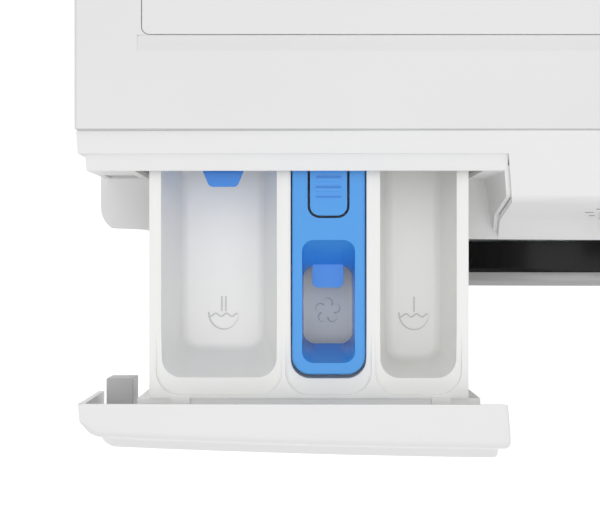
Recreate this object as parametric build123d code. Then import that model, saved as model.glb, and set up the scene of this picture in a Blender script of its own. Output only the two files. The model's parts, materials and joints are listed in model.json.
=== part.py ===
"""Front load washing machine, stored with its detergent drawer pulled out.

Drawn in millimetres: X to the right as seen from the front, Y into the machine from the plane of
the steel front, Z up from the floor. Each piece is moved by FRONT_Y when it is written, so that the
origin lies on the floor under the middle of the whole object.
"""
from build123d import *
import math
import os

# Cabinet
WIDTH = 600.0
HEIGHT = 850.0
BODY_DEPTH = 540.0
HALF = WIDTH / 2
SHEET = 1.2
CORNER_R = 14.0
BOW_R = 6500.0
GAP = 0.3
FOOT_CLEARANCE = 22.0
PLINTH_TOP = 111.5

# Worktop
WORKTOP_BORDER_FRONT = 47.0
WORKTOP_BORDER_SIDE = 33.5
WORKTOP_BORDER_BACK = 42.0
WORKTOP_THICKNESS = 16.0
BOARD_THICKNESS = 12.0
BOARD_LEDGE = 10.0
BOARD_CORNER_R = 4.0
WORKTOP_SKIRT = 26.0
WORKTOP_GAP = 0.7
GUTTER_WIDTH = 8.0
GUTTER_DEPTH = 1.5

# Control fascia: depths below the worktop and setbacks from the front plane
FASCIA_DEPTH = 128.0
JOINT_DEPTH, JOINT_SETBACK = 2.0, 52.0
CREST_DEPTH, CREST_SETBACK = 26.0, 16.3
FACE_DEPTH, FACE_SETBACK = FASCIA_DEPTH - 33.0, 8.7
LIP_DEPTH, LIP_SETBACK = FASCIA_DEPTH - 9.0, -1.5
LIP_HEIGHT = 5.0
RETURN_BACK = LIP_SETBACK + CORNER_R + HALF ** 2 / (2 * BOW_R) + 3.1
CREST_R = 9.0
COVE_R = 16.0
FASCIA_WALL = 2.6

# Drawer niche in the left end of the fascia
DRAWER_SKIN = 3.0
NICHE_WIDTH = 216.3
NICHE_RIGHT = NICHE_WIDTH - HALF
REBATE_WIDTH = 2.3
NICHE_FLARE = 0.145
LEDGE_FRONT = 32.8
LEDGE_BACK = LEDGE_FRONT + 8.2
SHELF_DEPTH = FASCIA_DEPTH - 10.0
SHELF_Z = HEIGHT - SHELF_DEPTH

# Drawer front and tray; the tray's places along Y follow its front edge
DRAWER_OPEN = 126.8
FRONT_BOTTOM_DEPTH = SHELF_DEPTH - 9.0
GUIDE_INSET, GUIDE_WIDTH = 8.0, 14.5
RIM_DEPTH = 30.0
RIM_Z = HEIGHT - RIM_DEPTH
RIM_THICKNESS = 2.6
RIM_SIDE = 6.1
DIVIDER = 7.0
TRAY_INSET = 35.0
TRAY_LENGTH = 200.0
TRAY_FLANGE = 3.6
FLANGE_EAR = 6.2
TRAY_WALL = 2.0
TRAY_FRONT = LEDGE_FRONT + 9.5 - DRAWER_OPEN
TRAY_LEFT = TRAY_INSET - HALF

# Compartments of the tray, from the left: main wash, softener, prewash
MAIN_WIDTH, MAIN_DROP, MAIN_SLOPE, MAIN_FRONT_SLOPE = 59.9, 52.0, 8.0, 13.0
SOFT_WIDTH, SOFT_DROP, SOFT_SLOPE, SOFT_FRONT_SLOPE = 39.3, 46.0, 3.0, 4.0
PRE_WIDTH, PRE_DROP, PRE_SLOPE, PRE_FRONT_SLOPE = 39.6, 52.0, 5.0, 7.0
POCKET_BACK_SLOPE = 3.5
POCKET_R = 10.0
POCKET_FLOOR_R = 5.0
POCKET_FRONT = TRAY_FRONT + 10.0
POCKET_BACK = TRAY_FRONT + TRAY_LENGTH - 19.5
SCOOP_FRONT = TRAY_FRONT + 1.8
SCOOP_LENGTH, SCOOP_DEPTH, SCOOP_SIDE, SCOOP_R = 35.0, 3.5, 2.6, 12.0
MAIN_LEFT = TRAY_LEFT + RIM_SIDE
MAIN_RIGHT = MAIN_LEFT + MAIN_WIDTH
SOFT_LEFT = MAIN_RIGHT + DIVIDER
SOFT_RIGHT = SOFT_LEFT + SOFT_WIDTH
SOFT_MIDDLE = (SOFT_LEFT + SOFT_RIGHT) / 2
PRE_LEFT = SOFT_RIGHT + DIVIDER
PRE_RIGHT = PRE_LEFT + PRE_WIDTH
TRAY_RIGHT = PRE_RIGHT + RIM_SIDE
SPOUT_Y = POCKET_BACK - 13.5
SPOUT_R, SPOUT_BORE, SPOUT_HEIGHT = 5.0, 3.0, 22.0

# Softener insert
CAP_CLEARANCE = 0.8
CAP_FRONT_GAP = 2.4
CAP_FRONT_R = 9.5
CAP_BACK = POCKET_BACK - 4.0
CAP_SKIRT = 7.0
CAP_WALL = 1.8
CAP_TOP = RIM_Z + 0.6
WELL_WIDTH, WELL_LENGTH, WELL_DROP = 27.4, 63.6, 28.0
WELL_FRONT = POCKET_FRONT + 8.3
WELL_BACK = WELL_FRONT + WELL_LENGTH
WELL_SLOPE_FRONT, WELL_SLOPE_BACK, WELL_SLOPE_SIDE = 9.0, 13.5, 0.8
WELL_R = 6.0
TONGUE_WIDTH, TONGUE_LENGTH, TONGUE_THICKNESS, TONGUE_R = 16.5, 11.5, 1.6, 3.0
TAB_WIDTH = 19.1
TAB_LEFT, TAB_RIGHT = SOFT_MIDDLE - TAB_WIDTH / 2, SOFT_MIDDLE + TAB_WIDTH / 2
TAB_FRONT, TAB_BACK = WELL_BACK + 12.6, POCKET_BACK - 24.0
TAB_SLOT = 1.3
TAB_R = 5.0
TAB_THICKNESS = 2.0
TAB_RIB_START, TAB_RIB_PITCH, TAB_RIB_WIDTH, TAB_RIB_PROUD = 12.5, 5.2, 1.5, 0.6
TAB_PIN_R = 1.4
TAB_PIVOT_Y = TAB_BACK - 5.0
TAB_PIVOT_Z = RIM_Z - 3.4

# Liquid flap
FLAP_Y = POCKET_FRONT + 114.5
FLAP_THICKNESS = 2.0
FLAP_SIDE_GAP = 2.8
FLAP_DROP = 38.0
FLAP_PIN_R = 2.0
FLAP_PIN_Z = RIM_Z - 6.0
FLAP_TAB_BACK_WIDTH, FLAP_TAB_FRONT_WIDTH, FLAP_TAB_LENGTH = 26.6, 14.4, 14.1
FLAP_TAB_SHIFT = 2.1

# Dispenser housing
HOUSING_WALL = 2.4
HOUSING_SLACK = 1.0
HOUSING_BOTTOM_DEPTH = FRONT_BOTTOM_DEPTH - 1.0
HOUSING_BACK = TRAY_FRONT + TRAY_LENGTH + DRAWER_OPEN + HOUSING_WALL + 7.3
RAIL_REACH = 2.6
COVER_Z, COVER_THICKNESS = RIM_Z + 3.6, 5.0
MOUTH_LENGTH = 13.0
STUB_X, STUB_Z = PRE_LEFT + 26.0, COVER_Z + 1.0
DROP_HOSE_R, DROP_HOSE_BORE = 20.0, 16.0
HOSE_X, HOSE_Y = SOFT_MIDDLE, HOUSING_BACK - 62.0

# Door and its opening
DOOR_DROP = 410.0
DOOR_Z = HEIGHT - DOOR_DROP
DOOR_R = 235.0
DOOR_FRONT = -28.3
RIM_BACK = -20.0
DOOR_BACK = -1.5
DOOR_WINDOW_R = DOOR_R - 69.0
OPENING_R = DOOR_R - 70.0
GLASS_R = OPENING_R - 2.0
GLASS_WALL = 5.0
GLASS_NOSE_R = OPENING_R - 57.0
GLASS_NOSE_Y = 82.0
HINGE_X, HINGE_Y = -DOOR_R - 4.0, -13.0
HINGE_PIN_R = 4.0
PIN_CLEARANCE = 0.05
KNUCKLE_R = 7.0
HINGE_HALF = 38.0
HOOK_X = DOOR_R - 35.0
HANDLE_HALF = 42.0
HANDLE_LEFT, HANDLE_RIGHT = DOOR_R - 39.0, DOOR_R - 5.0

# Tub and drum, on one level axis behind the door
TUB_ROOM = 36.8
TUB_R = HALF - SHEET - TUB_ROOM
TUB_WALL = 4.0
TUB_FLANGE, TUB_FLANGE_HALF = 8.0, 8.0
REAR_ROOM = 80.0
TUB_FRONT, TUB_SPLIT, TUB_BACK = 100.0, 270.0, BODY_DEPTH - REAR_ROOM
TUB_NECK_R = OPENING_R + 9.0
TUB_NECK_FRONT = TUB_FRONT - 22.0
DRUM_GAP = 20.0
DRUM_R = TUB_R - TUB_WALL - DRUM_GAP
DRUM_WALL = 1.2
DRUM_FRONT, DRUM_BACK = TUB_FRONT + 18.0, TUB_BACK - 36.0
DRUM_MOUTH_R = OPENING_R - 5.0
LIFTER_HEIGHT, LIFTER_BASE, LIFTER_CREST, LIFTER_R = 52.0, 68.0, 24.0, 9.0
LIFTER_MARGIN = 22.0
SHAFT_R = 15.0
HUB_R = 48.0
HUB_BACK = TUB_BACK + 32.0
BEARINGS = ((TUB_BACK, TUB_BACK + 16.0, 31.0), (TUB_BACK + 17.5, HUB_BACK, 26.0))
SPIDER_THICKNESS = 20.0
PULLEY_Y, PULLEY_WIDTH = HUB_BACK + 5.0, 15.0
DRUM_PULLEY_R = 140.0
MOTOR_PULLEY_R = 11.0
BELT_WIDTH = 12.0
BELT_THICKNESS = 4.0
MOTOR_R, MOTOR_LENGTH, MOTOR_SHAFT_R = 54.0, 95.0, 6.0
MOTOR_ANGLE = 30.0
MOTOR_ARM = TUB_R + MOTOR_R + 2.0
MOTOR_X = MOTOR_ARM * math.sin(math.radians(MOTOR_ANGLE))
MOTOR_Z = DOOR_Z - MOTOR_ARM * math.cos(math.radians(MOTOR_ANGLE))
MOTOR_LUG_Y = PULLEY_Y - 112.0
MOTOR_LUG_THICKNESS = 10.0

# Suspension and weights of the tub
DAMPER_X, DAMPER_Y = 170.0, TUB_FRONT + 110.0
DAMPER_TOP = DOOR_Z - TUB_R + 37.0
DAMPER_SPLIT = DAMPER_TOP - 60.0
DAMPER_R, DAMPER_ROD_R = 14.0, 6.0
LUG_HALF = 10.0
SPRING_X, SPRING_Y = 200.0, TUB_SPLIT + 45.0
SPRING_LOW, SPRING_R, SPRING_WIRE, SPRING_HOOK = DOOR_Z + TUB_R - 52.0, 10.0, 3.2, 14.0
BRACE_Z0, BRACE_Z1, BRACE_HALF, BRACE_SHEET = HEIGHT - 78.0, HEIGHT - 54.0, 20.0, 1.5
WEIGHT_LEFT, WEIGHT_RIGHT, WEIGHT_TOP, WEIGHT_R = -40.0, 215.0, HEIGHT - 82.0, 30.0
FRONT_WEIGHT_THICKNESS, FRONT_WEIGHT_TOP = 20.0, DOOR_Z - 30.0

# Rear fittings
INLET_X, INLET_Z, INLET_R, INLET_REACH = HALF - 150.0, HEIGHT - 70.0, 13.2, 20.0
INLET_COLLAR_R, INLET_COLLAR = 17.2, 1.5
VALVE_LENGTH, VALVE_HALF, VALVE_NECK, HOSE_R = 45.0, 18.0, 25.0, 7.0
DRAIN_X, DRAIN_Z, DRAIN_R, DRAIN_REACH = 100.0 - HALF, 92.0, 11.0, 16.0
CABLE_X, CABLE_Z, CABLE_R, CABLE_BORE = HALF - 100.0, 92.0, 9.0, 4.0
SERVICE_WIDTH, SERVICE_HEIGHT, SERVICE_R = 276.0, 520.0, 30.0
SERVICE_Z, SERVICE_LAP = DOOR_Z - 20.0, 12.0
TRANSIT = [(x, DOOR_Z + dz) for x in (-190.0, 190.0) for dz in (-190.0, 190.0)]
TRANSIT_R = 13.0

# Controls on the fascia
KNOB_X, KNOB_DEPTH, KNOB_R, KNOB_LENGTH = 0.0, 61.0, 25.0, 17.0
KNOB_SHAFT_R = 4.0
SEAT_Y = 7.6
BUTTON_R = 9.0
BUTTON_PROUD = 2.6
BUTTONS = {"power_button": (48.0, 61.0), "start_button": (HALF - 38.0, 61.0)}
DISPLAY_LEFT, DISPLAY_RIGHT = 72.0, HALF - 64.0
DISPLAY_TOP_DEPTH, DISPLAY_BOTTOM_DEPTH = 40.0, 84.0
DISPLAY_THICKNESS = 1.4
BOARD_Y = 30.0
BOARD_PLATE = 1.6

# Filter hatch in the plinth, on a pivot line along the bowed face
HATCH_LEFT, HATCH_RIGHT = HALF - 164.0, HALF - 56.0
HATCH_BOTTOM, HATCH_TOP = 40.0, 96.0
HATCH_ROLL = 3.5
HATCH_GAP = 0.6
HATCH_MIDDLE = (HATCH_LEFT + HATCH_RIGHT) / 2
HATCH_LEAN = math.degrees(math.atan(HATCH_MIDDLE / BOW_R))
HATCH_PIVOT_Y = (HATCH_LEFT ** 2 + HATCH_RIGHT ** 2) / (4 * BOW_R) + 3.6
HATCH_PIVOT_Z = HATCH_BOTTOM + 2.4
HATCH_BARREL_R, HATCH_PIN_R, HATCH_PIN_REACH = 2.2, 1.4, 3.0
PLINTH_WALL = 2.5
PUMP_X, PUMP_Z, PUMP_R = HATCH_MIDDLE, 68.0, 34.0
FILTER_R = 26.0
PUMP_FRONT = 30.0

# Feet and base
PAN_TOP, PAN_WALL, PAN_FRONT = 56.0, 3.0, 34.0
FOOT_X, FOOT_FRONT, FOOT_BACK = HALF - 38.0, 60.0, BODY_DEPTH - 50.0
FOOT_R, FOOT_HEIGHT = 22.0, 12.0
STEM_R = 5.0

# The origin lies under the middle of the object, from the open drawer to the inlet spigot.
FLARE = (LIP_SETBACK - FACE_SETBACK) / (LIP_DEPTH - FACE_DEPTH)
DRAWER_NOSE = FACE_SETBACK + FLARE * (FRONT_BOTTOM_DEPTH - FACE_DEPTH)
FRONT_Y = (DRAWER_OPEN - DRAWER_NOSE - BODY_DEPTH - INLET_REACH) / 2


def block(x0, x1, y0, y1, z0, z1):
    """A box between two corners."""
    centre = ((x0 + x1) / 2, (y0 + y1) / 2, (z0 + z1) / 2)
    return Pos(*centre) * Box(abs(x1 - x0), abs(y1 - y0), abs(z1 - z0))


def rod_y(r, y0, y1, x=0.0, z=DOOR_Z):
    """A round bar along Y."""
    return Pos(x, (y0 + y1) / 2, z) * Rot(90, 0, 0) * Cylinder(r, y1 - y0)


def ring_y(r_out, r_in, y0, y1, x=0.0, z=DOOR_Z):
    """A ring about an axis along Y."""
    return rod_y(r_out, y0, y1, x, z) - rod_y(r_in, y0 - 1, y1 + 1, x, z)


def rod_z(r, z0, z1, x, y):
    """A round bar along Z."""
    return Pos(x, y, (z0 + z1) / 2) * Cylinder(r, z1 - z0)


def turned_y(points, x=0.0, z=DOOR_Z, arc=360.0):
    """A profile of (radius, y) points turned about an axis along Y."""
    outline = Plane.XY * make_face(Polyline(*points, close=True))
    solid = revolve(outline, Axis.Y, arc)
    return Pos(x, 0, z) * solid


def bow(x):
    """How far the bowed front falls back at a distance from the middle."""
    return x * x / (2 * BOW_R)


def plan(inset, front, back):
    """Plan of the machine: bowed front, straight sides and rounded front corners."""
    side, near, r = HALF - inset, front + inset, CORNER_R - inset
    spine = near + BOW_R
    cx = side - r
    cy = spine - math.sqrt((BOW_R - r) ** 2 - cx ** 2)
    lean = math.atan2(cx, spine - cy)
    meet = (BOW_R * math.sin(lean), spine - BOW_R * math.cos(lean))
    turn = (math.pi / 2 + lean) / 2
    middle = (cx + r * math.sin(turn), cy - r * math.cos(turn))
    front_arc = ThreePointArc((-meet[0], meet[1]), (0, near), meet)
    right = ThreePointArc(meet, middle, (side, cy))
    left = ThreePointArc((-side, cy), (-middle[0], middle[1]), (-meet[0], meet[1]))
    rest = Polyline((side, cy), (side, back), (-side, back), (-side, cy))
    return make_face(front_arc.edges() + right.edges() + rest.edges() + left.edges())


def plan_strip(thickness, back, z0, z1):
    """A sheet that follows the front and turns back along both sides."""
    outer = extrude(Pos(0, 0, z0) * plan(0, 0, back), z1 - z0)
    inner = extrude(Pos(0, 0, z0 - 1) * plan(thickness, 0, back + 1), z1 - z0 + 2)
    return outer - inner


def fascia_profile(back):
    """Side section of the fascia: sloping top, upright face and a flared lower lip."""
    top = HEIGHT - JOINT_DEPTH
    bottom = HEIGHT - FASCIA_DEPTH
    lip = HEIGHT - LIP_DEPTH
    crest = (CREST_SETBACK, HEIGHT - CREST_DEPTH)
    cove = (FACE_SETBACK, HEIGHT - FACE_DEPTH)
    points = [(back, top)] if back > JOINT_SETBACK else []
    points += [(JOINT_SETBACK, top), crest, cove, (LIP_SETBACK, lip)]
    points += [(LIP_SETBACK, lip - LIP_HEIGHT), (LIP_SETBACK + LIP_HEIGHT, bottom), (back, bottom)]
    face = make_face(Polyline(*points, close=True))
    near_crest = face.vertices().sort_by_distance((*crest, 0))[0]
    face = fillet(near_crest, CREST_R)
    near_cove = face.vertices().sort_by_distance((*cove, 0))[0]
    return fillet(near_cove, COVE_R)


def fascia_solid(inset):
    """The fascia's bulk, drawn in by an inset; with an inset it runs on past the open back."""
    section = fascia_profile(JOINT_SETBACK + 2 * inset)
    if inset:
        section = offset(section, -inset, kind=Kind.INTERSECTION)
    reach = math.degrees(math.asin((HALF + 12) / BOW_R))
    spine = Axis((0, BOW_R, 0), (0, 0, 1))
    start = (Plane.YZ * section).rotate(spine, -reach)
    bulk = revolve(start, spine, 2 * reach)
    low = HEIGHT - FASCIA_DEPTH - 5
    outline = plan(inset, LIP_SETBACK - 2, JOINT_SETBACK + 2 * inset + 5)
    return bulk & extrude(Pos(0, 0, low) * outline, FASCIA_DEPTH + 10)


OUTER = fascia_solid(0) & block(-WIDTH, WIDTH, -WIDTH, JOINT_SETBACK, 0, HEIGHT)
INNER = fascia_solid(FASCIA_WALL)
SEAT = fascia_solid(DRAWER_SKIN + GAP)
SEAT_BACK = fascia_solid(DRAWER_SKIN + GAP + FASCIA_WALL)
SKIN = fascia_solid(DRAWER_SKIN)
PARTS = {}


def tray_opening(y0, y1, slack):
    """The way that the drawer's tray and its front flange take through the niche's back wall."""
    low = HEIGHT - FRONT_BOTTOM_DEPTH + 2
    return block(TRAY_LEFT - FLANGE_EAR - slack, TRAY_RIGHT + FLANGE_EAR + slack, y0, y1,
                 low, RIM_Z + 4 + slack)


def flared_block(x0, x1, y0, y1, z0, z1, both=False):
    """A box whose right side, or both sides, run outwards to the front as the niche's end does."""
    near, far = NICHE_FLARE * (LEDGE_BACK - y0), NICHE_FLARE * (LEDGE_BACK - y1)
    left_near, left_far = (x0 + near, x0 + far) if both else (x0, x0)
    outline = Polyline((left_near, y0), (x1 + near, y0), (x1 + far, y1), (left_far, y1), close=True)
    return extrude(Pos(0, 0, z0) * make_face(outline), z1 - z0)


def guide_box(slack):
    """The grey tongue behind the drawer front's left end, drawn with the drawer shut."""
    left = GUIDE_INSET - HALF
    right = left + GUIDE_WIDTH
    return block(left - slack, right + slack, LEDGE_FRONT - 24, LEDGE_FRONT + 17,
                 HEIGHT - FRONT_BOTTOM_DEPTH + 5 - slack, HEIGHT - FRONT_BOTTOM_DEPTH + 35 + slack)


def make_fascia():
    """The moulded control fascia with the drawer's niche, knob seat, holes and board posts."""
    cut_right = NICHE_RIGHT + REBATE_WIDTH
    wall_right = NICHE_RIGHT + FASCIA_WALL
    body = OUTER - INNER
    body -= flared_block(-HALF - 1, cut_right, LIP_SETBACK - 9, LEDGE_BACK, SHELF_Z, HEIGHT + 1)
    riser = block(-HALF - 1, cut_right, LEDGE_BACK, LEDGE_BACK + 3, SHELF_Z - 2, HEIGHT + 1)
    body += (OUTER & riser) - SEAT_BACK
    ledge = block(-HALF - 1, wall_right, LEDGE_FRONT, LEDGE_BACK + 1, SHELF_Z - 2, HEIGHT)
    body += (SEAT & ledge) - SEAT_BACK
    back_wall = block(-HALF - 1, wall_right, LEDGE_FRONT, LEDGE_FRONT + FASCIA_WALL,
                      SHELF_Z - 2, HEIGHT)
    body += SEAT & back_wall
    right_wall = flared_block(NICHE_RIGHT, wall_right, LIP_SETBACK - 9, LEDGE_FRONT + FASCIA_WALL,
                              SHELF_Z - 2, HEIGHT, both=True)
    body += SEAT & right_wall
    shelf = flared_block(-HALF - 1, wall_right, LIP_SETBACK - 9, LEDGE_FRONT + FASCIA_WALL,
                         SHELF_Z - FASCIA_WALL, SHELF_Z)
    body += OUTER & shelf
    body -= tray_opening(LEDGE_FRONT - 1, LEDGE_BACK + 10, 1.0)
    body -= guide_box(1.0)
    knob_z = HEIGHT - KNOB_DEPTH
    body += rod_y(KNOB_R + 2, SEAT_Y, JOINT_SETBACK, KNOB_X, knob_z) - INNER
    body -= rod_y(KNOB_SHAFT_R + PIN_CLEARANCE, 0, JOINT_SETBACK, KNOB_X, knob_z)
    for x, depth in BUTTONS.values():
        body -= rod_y(BUTTON_R + GAP, -10, JOINT_SETBACK, x, HEIGHT - depth)
    window = block(DISPLAY_LEFT - GAP, DISPLAY_RIGHT + GAP, -10, 40,
                   HEIGHT - DISPLAY_BOTTOM_DEPTH - GAP, HEIGHT - DISPLAY_TOP_DEPTH + GAP)
    body -= (OUTER - fascia_solid(DISPLAY_THICKNESS)) & window
    for x in (DISPLAY_LEFT + 8, DISPLAY_RIGHT - 8):
        for depth in (DISPLAY_TOP_DEPTH + 4, DISPLAY_BOTTOM_DEPTH - 4):
            post = rod_y(3.0, 8, BOARD_Y, x, HEIGHT - depth)
            body += post & INNER
    return body


def make_display():
    """The dark display lens, flush with the fascia's face."""
    window = block(DISPLAY_LEFT, DISPLAY_RIGHT, -10, 40,
                   HEIGHT - DISPLAY_BOTTOM_DEPTH, HEIGHT - DISPLAY_TOP_DEPTH)
    return (OUTER - fascia_solid(DISPLAY_THICKNESS)) & window


def make_board():
    """The printed control board on its posts."""
    board = block(DISPLAY_LEFT, DISPLAY_RIGHT, BOARD_Y, BOARD_Y + BOARD_PLATE,
                  HEIGHT - DISPLAY_BOTTOM_DEPTH, HEIGHT - DISPLAY_TOP_DEPTH)
    relay = block(DISPLAY_LEFT + 30, DISPLAY_LEFT + 55, BOARD_Y + BOARD_PLATE, BOARD_Y + 13,
                  HEIGHT - DISPLAY_BOTTOM_DEPTH + 8, HEIGHT - DISPLAY_BOTTOM_DEPTH + 24)
    choke = rod_y(8, BOARD_Y + BOARD_PLATE, BOARD_Y + 15, DISPLAY_RIGHT - 40, HEIGHT - DISPLAY_TOP_DEPTH - 22)
    return board + relay + choke


def make_knob():
    """The programme knob: a fluted grip on a skirt, with its shaft into the fascia."""
    z = HEIGHT - KNOB_DEPTH
    skirt_back = SEAT_Y - GAP
    profile = [(0, skirt_back), (KNOB_R, skirt_back), (KNOB_R, skirt_back - 3),
               (KNOB_R - 3.5, skirt_back - 5), (KNOB_R - 5, skirt_back - KNOB_LENGTH + 2),
               (KNOB_R - 7, skirt_back - KNOB_LENGTH), (0, skirt_back - KNOB_LENGTH)]
    knob = turned_y(profile, KNOB_X, z)
    flutes = 24
    for i in range(flutes):
        a = 2 * math.pi * i / flutes
        x, dz = (KNOB_R - 2.6) * math.cos(a), (KNOB_R - 2.6) * math.sin(a)
        knob -= rod_y(1.4, skirt_back - KNOB_LENGTH - 1, skirt_back - 6, KNOB_X + x, z + dz)
    return knob + rod_y(KNOB_SHAFT_R, skirt_back - 1, JOINT_SETBACK - 12, KNOB_X, z)


def make_button(x, depth):
    """A round push button with a dished face and a stop flange behind the fascia."""
    z = HEIGHT - depth
    front = FACE_SETBACK + 2.0 + bow(x) - BUTTON_PROUD
    back = CREST_SETBACK + 10
    flange = BUTTON_R + 2
    profile = [(0, back), (flange, back), (flange, back - 2), (BUTTON_R, back - 2),
               (BUTTON_R, front + 1), (BUTTON_R - 1, front), (BUTTON_R - 3, front), (0, front + 0.8)]
    return turned_y(profile, x, z)


def make_worktop_frame():
    """The moulded worktop surround, rebated for the board, with a gutter along the board's front."""
    front = JOINT_SETBACK + WORKTOP_GAP
    ring = block(-HALF, HALF, front, BODY_DEPTH, HEIGHT - WORKTOP_THICKNESS, HEIGHT)
    skirt = block(-HALF, HALF, front, BODY_DEPTH, HEIGHT - WORKTOP_SKIRT, HEIGHT - WORKTOP_THICKNESS)
    skirt -= block(-HALF + 3, HALF - 3, front - 1, BODY_DEPTH - 3, 0, HEIGHT)
    ring += skirt
    upright = [e for e in ring.edges().filter_by(Axis.Z) if e.center().Y > BODY_DEPTH - 1]
    ring = fillet([e for e in upright if abs(e.center().X) > HALF - 1], 6)
    seat = Pos(0, 0, HEIGHT - BOARD_THICKNESS) * board_plan(0)
    ring -= extrude(seat, BOARD_THICKNESS + 1)
    ring -= extrude(Pos(0, 0, 0) * board_plan(BOARD_LEDGE), HEIGHT)
    y = front + WORKTOP_BORDER_FRONT
    gutter = make_face(Polyline((y, HEIGHT - GUTTER_DEPTH), (y, HEIGHT + 1), (y - GUTTER_WIDTH, HEIGHT + 1),
                                (y - GUTTER_WIDTH, HEIGHT), close=True))
    length = WIDTH - 2 * WORKTOP_BORDER_SIDE + 4
    ring -= Pos(-length / 2, 0, 0) * extrude(Plane.YZ * gutter, length)
    edge = [e for e in ring.edges().filter_by(Axis.Y) if abs(e.center().X) > HALF - 1
            and e.center().Z > HEIGHT - 1]
    return fillet(edge, 2.0)


def board_plan(inset):
    """Outline of the board's seat in the worktop."""
    front = JOINT_SETBACK + WORKTOP_GAP + WORKTOP_BORDER_FRONT + inset
    back = BODY_DEPTH - WORKTOP_BORDER_BACK - inset
    width = WIDTH - 2 * (WORKTOP_BORDER_SIDE + inset)
    return Pos(0, (front + back) / 2, 0) * RectangleRounded(width, back - front, BOARD_CORNER_R)


def make_board_panel():
    """The laminate worktop board, flush in its surround."""
    board = extrude(Pos(0, 0, HEIGHT - BOARD_THICKNESS) * offset(board_plan(0), -GAP), BOARD_THICKNESS)
    return chamfer(board.faces().sort_by(Axis.Z)[-1].edges(), 0.4)


def make_cabinet():
    """The steel wrap: two sides and the back, with the service opening and the rear holes."""
    low, high = FOOT_CLEARANCE, HEIGHT - WORKTOP_SKIRT - 0.2
    front = RETURN_BACK + 0.4
    wrap = block(-HALF, HALF, front, BODY_DEPTH, low, high)
    wrap -= block(-HALF + SHEET, HALF - SHEET, front - 1, BODY_DEPTH - SHEET, low - 1, high + 1)
    wrap -= block(-HALF - 1, HALF + 1, 0, JOINT_SETBACK + WORKTOP_GAP, HEIGHT - FASCIA_DEPTH - 0.4, HEIGHT)
    back = Plane.XZ * Pos(0, SERVICE_Z) * RectangleRounded(SERVICE_WIDTH, SERVICE_HEIGHT, SERVICE_R)
    wrap -= Pos(0, BODY_DEPTH + 5, 0) * extrude(back, 10)
    wrap -= rod_y(INLET_COLLAR_R + GAP, BODY_DEPTH - 5, BODY_DEPTH + 5, INLET_X, INLET_Z)
    wrap -= rod_y(DRAIN_R + 3.2, BODY_DEPTH - 5, BODY_DEPTH + 5, DRAIN_X, DRAIN_Z)
    wrap -= rod_y(CABLE_R + GAP, BODY_DEPTH - 5, BODY_DEPTH + 5, CABLE_X, CABLE_Z)
    for x, z in TRANSIT:
        wrap -= rod_y(TRANSIT_R + GAP, BODY_DEPTH - 5, BODY_DEPTH + 5, x, z)
    for side in (-1, 1):
        for z in (DOOR_Z - 140, DOOR_Z + 120):
            groove = Plane.YZ * Pos(BODY_DEPTH / 2 + 20, z) * RectangleRounded(BODY_DEPTH - 180, 10, 4.9)
            depth = 0.5
            press = extrude(groove, depth)
            wrap -= Pos(side * HALF - depth / 2 - side * depth / 2, 0, 0) * press
    return wrap


def make_rear_panel():
    """The service cover on the back, with pressed stiffening panels."""
    sheet = Plane.XZ * Pos(0, SERVICE_Z) * RectangleRounded(
        SERVICE_WIDTH + 2 * SERVICE_LAP, SERVICE_HEIGHT + 2 * SERVICE_LAP, SERVICE_R + 4)
    panel = Pos(0, BODY_DEPTH + SHEET, 0) * extrude(sheet, SHEET)
    for dz in (-150, 0, 150):
        dish = Plane.XZ * Pos(0, SERVICE_Z + dz) * RectangleRounded(SERVICE_WIDTH - 56, 96, 18)
        panel += Pos(0, BODY_DEPTH + SHEET + 2.5, 0) * extrude(dish, 2.6, taper=20)
    return panel


def make_front_panel():
    """The steel front: bowed sheet with side returns and a rolled flange round the door opening."""
    z1 = HEIGHT - FASCIA_DEPTH - 0.4
    sheet = plan_strip(SHEET, RETURN_BACK, PLINTH_TOP + 0.4, z1)
    sheet -= rod_y(OPENING_R, -10, 60)
    sheet += ring_y(OPENING_R, OPENING_R - SHEET, 0.6, 16)
    sheet -= block(HOOK_X - 12, HOOK_X + 13, -10, 20, DOOR_Z - 11, DOOR_Z + 11)
    return sheet


def hatch_bar(r, half_length):
    """A round bar on the hatch's pivot line."""
    bar = Rot(0, 0, HATCH_LEAN) * Rot(0, 90, 0) * Cylinder(r, 2 * half_length)
    return Pos(HATCH_MIDDLE, HATCH_PIVOT_Y, HATCH_PIVOT_Z) * bar


def make_kick_plate():
    """The plinth, with an opening for the filter hatch and a lug for each of the hatch's pins."""
    plate = plan_strip(PLINTH_WALL, RETURN_BACK, FOOT_CLEARANCE + 0.5, PLINTH_TOP)
    left, right = HATCH_LEFT - HATCH_GAP, HATCH_RIGHT + HATCH_GAP
    plate -= block(left, right, -10, 20, HATCH_BOTTOM - HATCH_ROLL, HATCH_TOP + HATCH_GAP)
    low, high = HATCH_PIVOT_Z - 3.4, HATCH_PIVOT_Z + 3.4
    for x0, x1 in ((left - 4, left), (right, right + 4)):
        front = bow((x0 + x1) / 2) + PLINTH_WALL / 2
        plate += block(x0, x1, front, front + 6, low, high)
    return plate - hatch_bar(HATCH_PIN_R + PIN_CLEARANCE, (right - left) / 2 + 3.4)


def make_hatch():
    """The filter hatch: a piece of the plinth's face that tips forward on its lower edge."""
    face = plan_strip(PLINTH_WALL, RETURN_BACK, FOOT_CLEARANCE + 0.5, PLINTH_TOP)
    hatch = face & block(HATCH_LEFT, HATCH_RIGHT, -10, 12, HATCH_BOTTOM, HATCH_TOP)
    hatch -= rod_y(9, -10, 12, HATCH_MIDDLE, HATCH_TOP + 3)
    half_length = (HATCH_RIGHT - HATCH_LEFT) / 2
    hatch += hatch_bar(HATCH_BARREL_R, half_length - 1)
    return hatch + hatch_bar(HATCH_PIN_R, half_length + HATCH_PIN_REACH)


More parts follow.
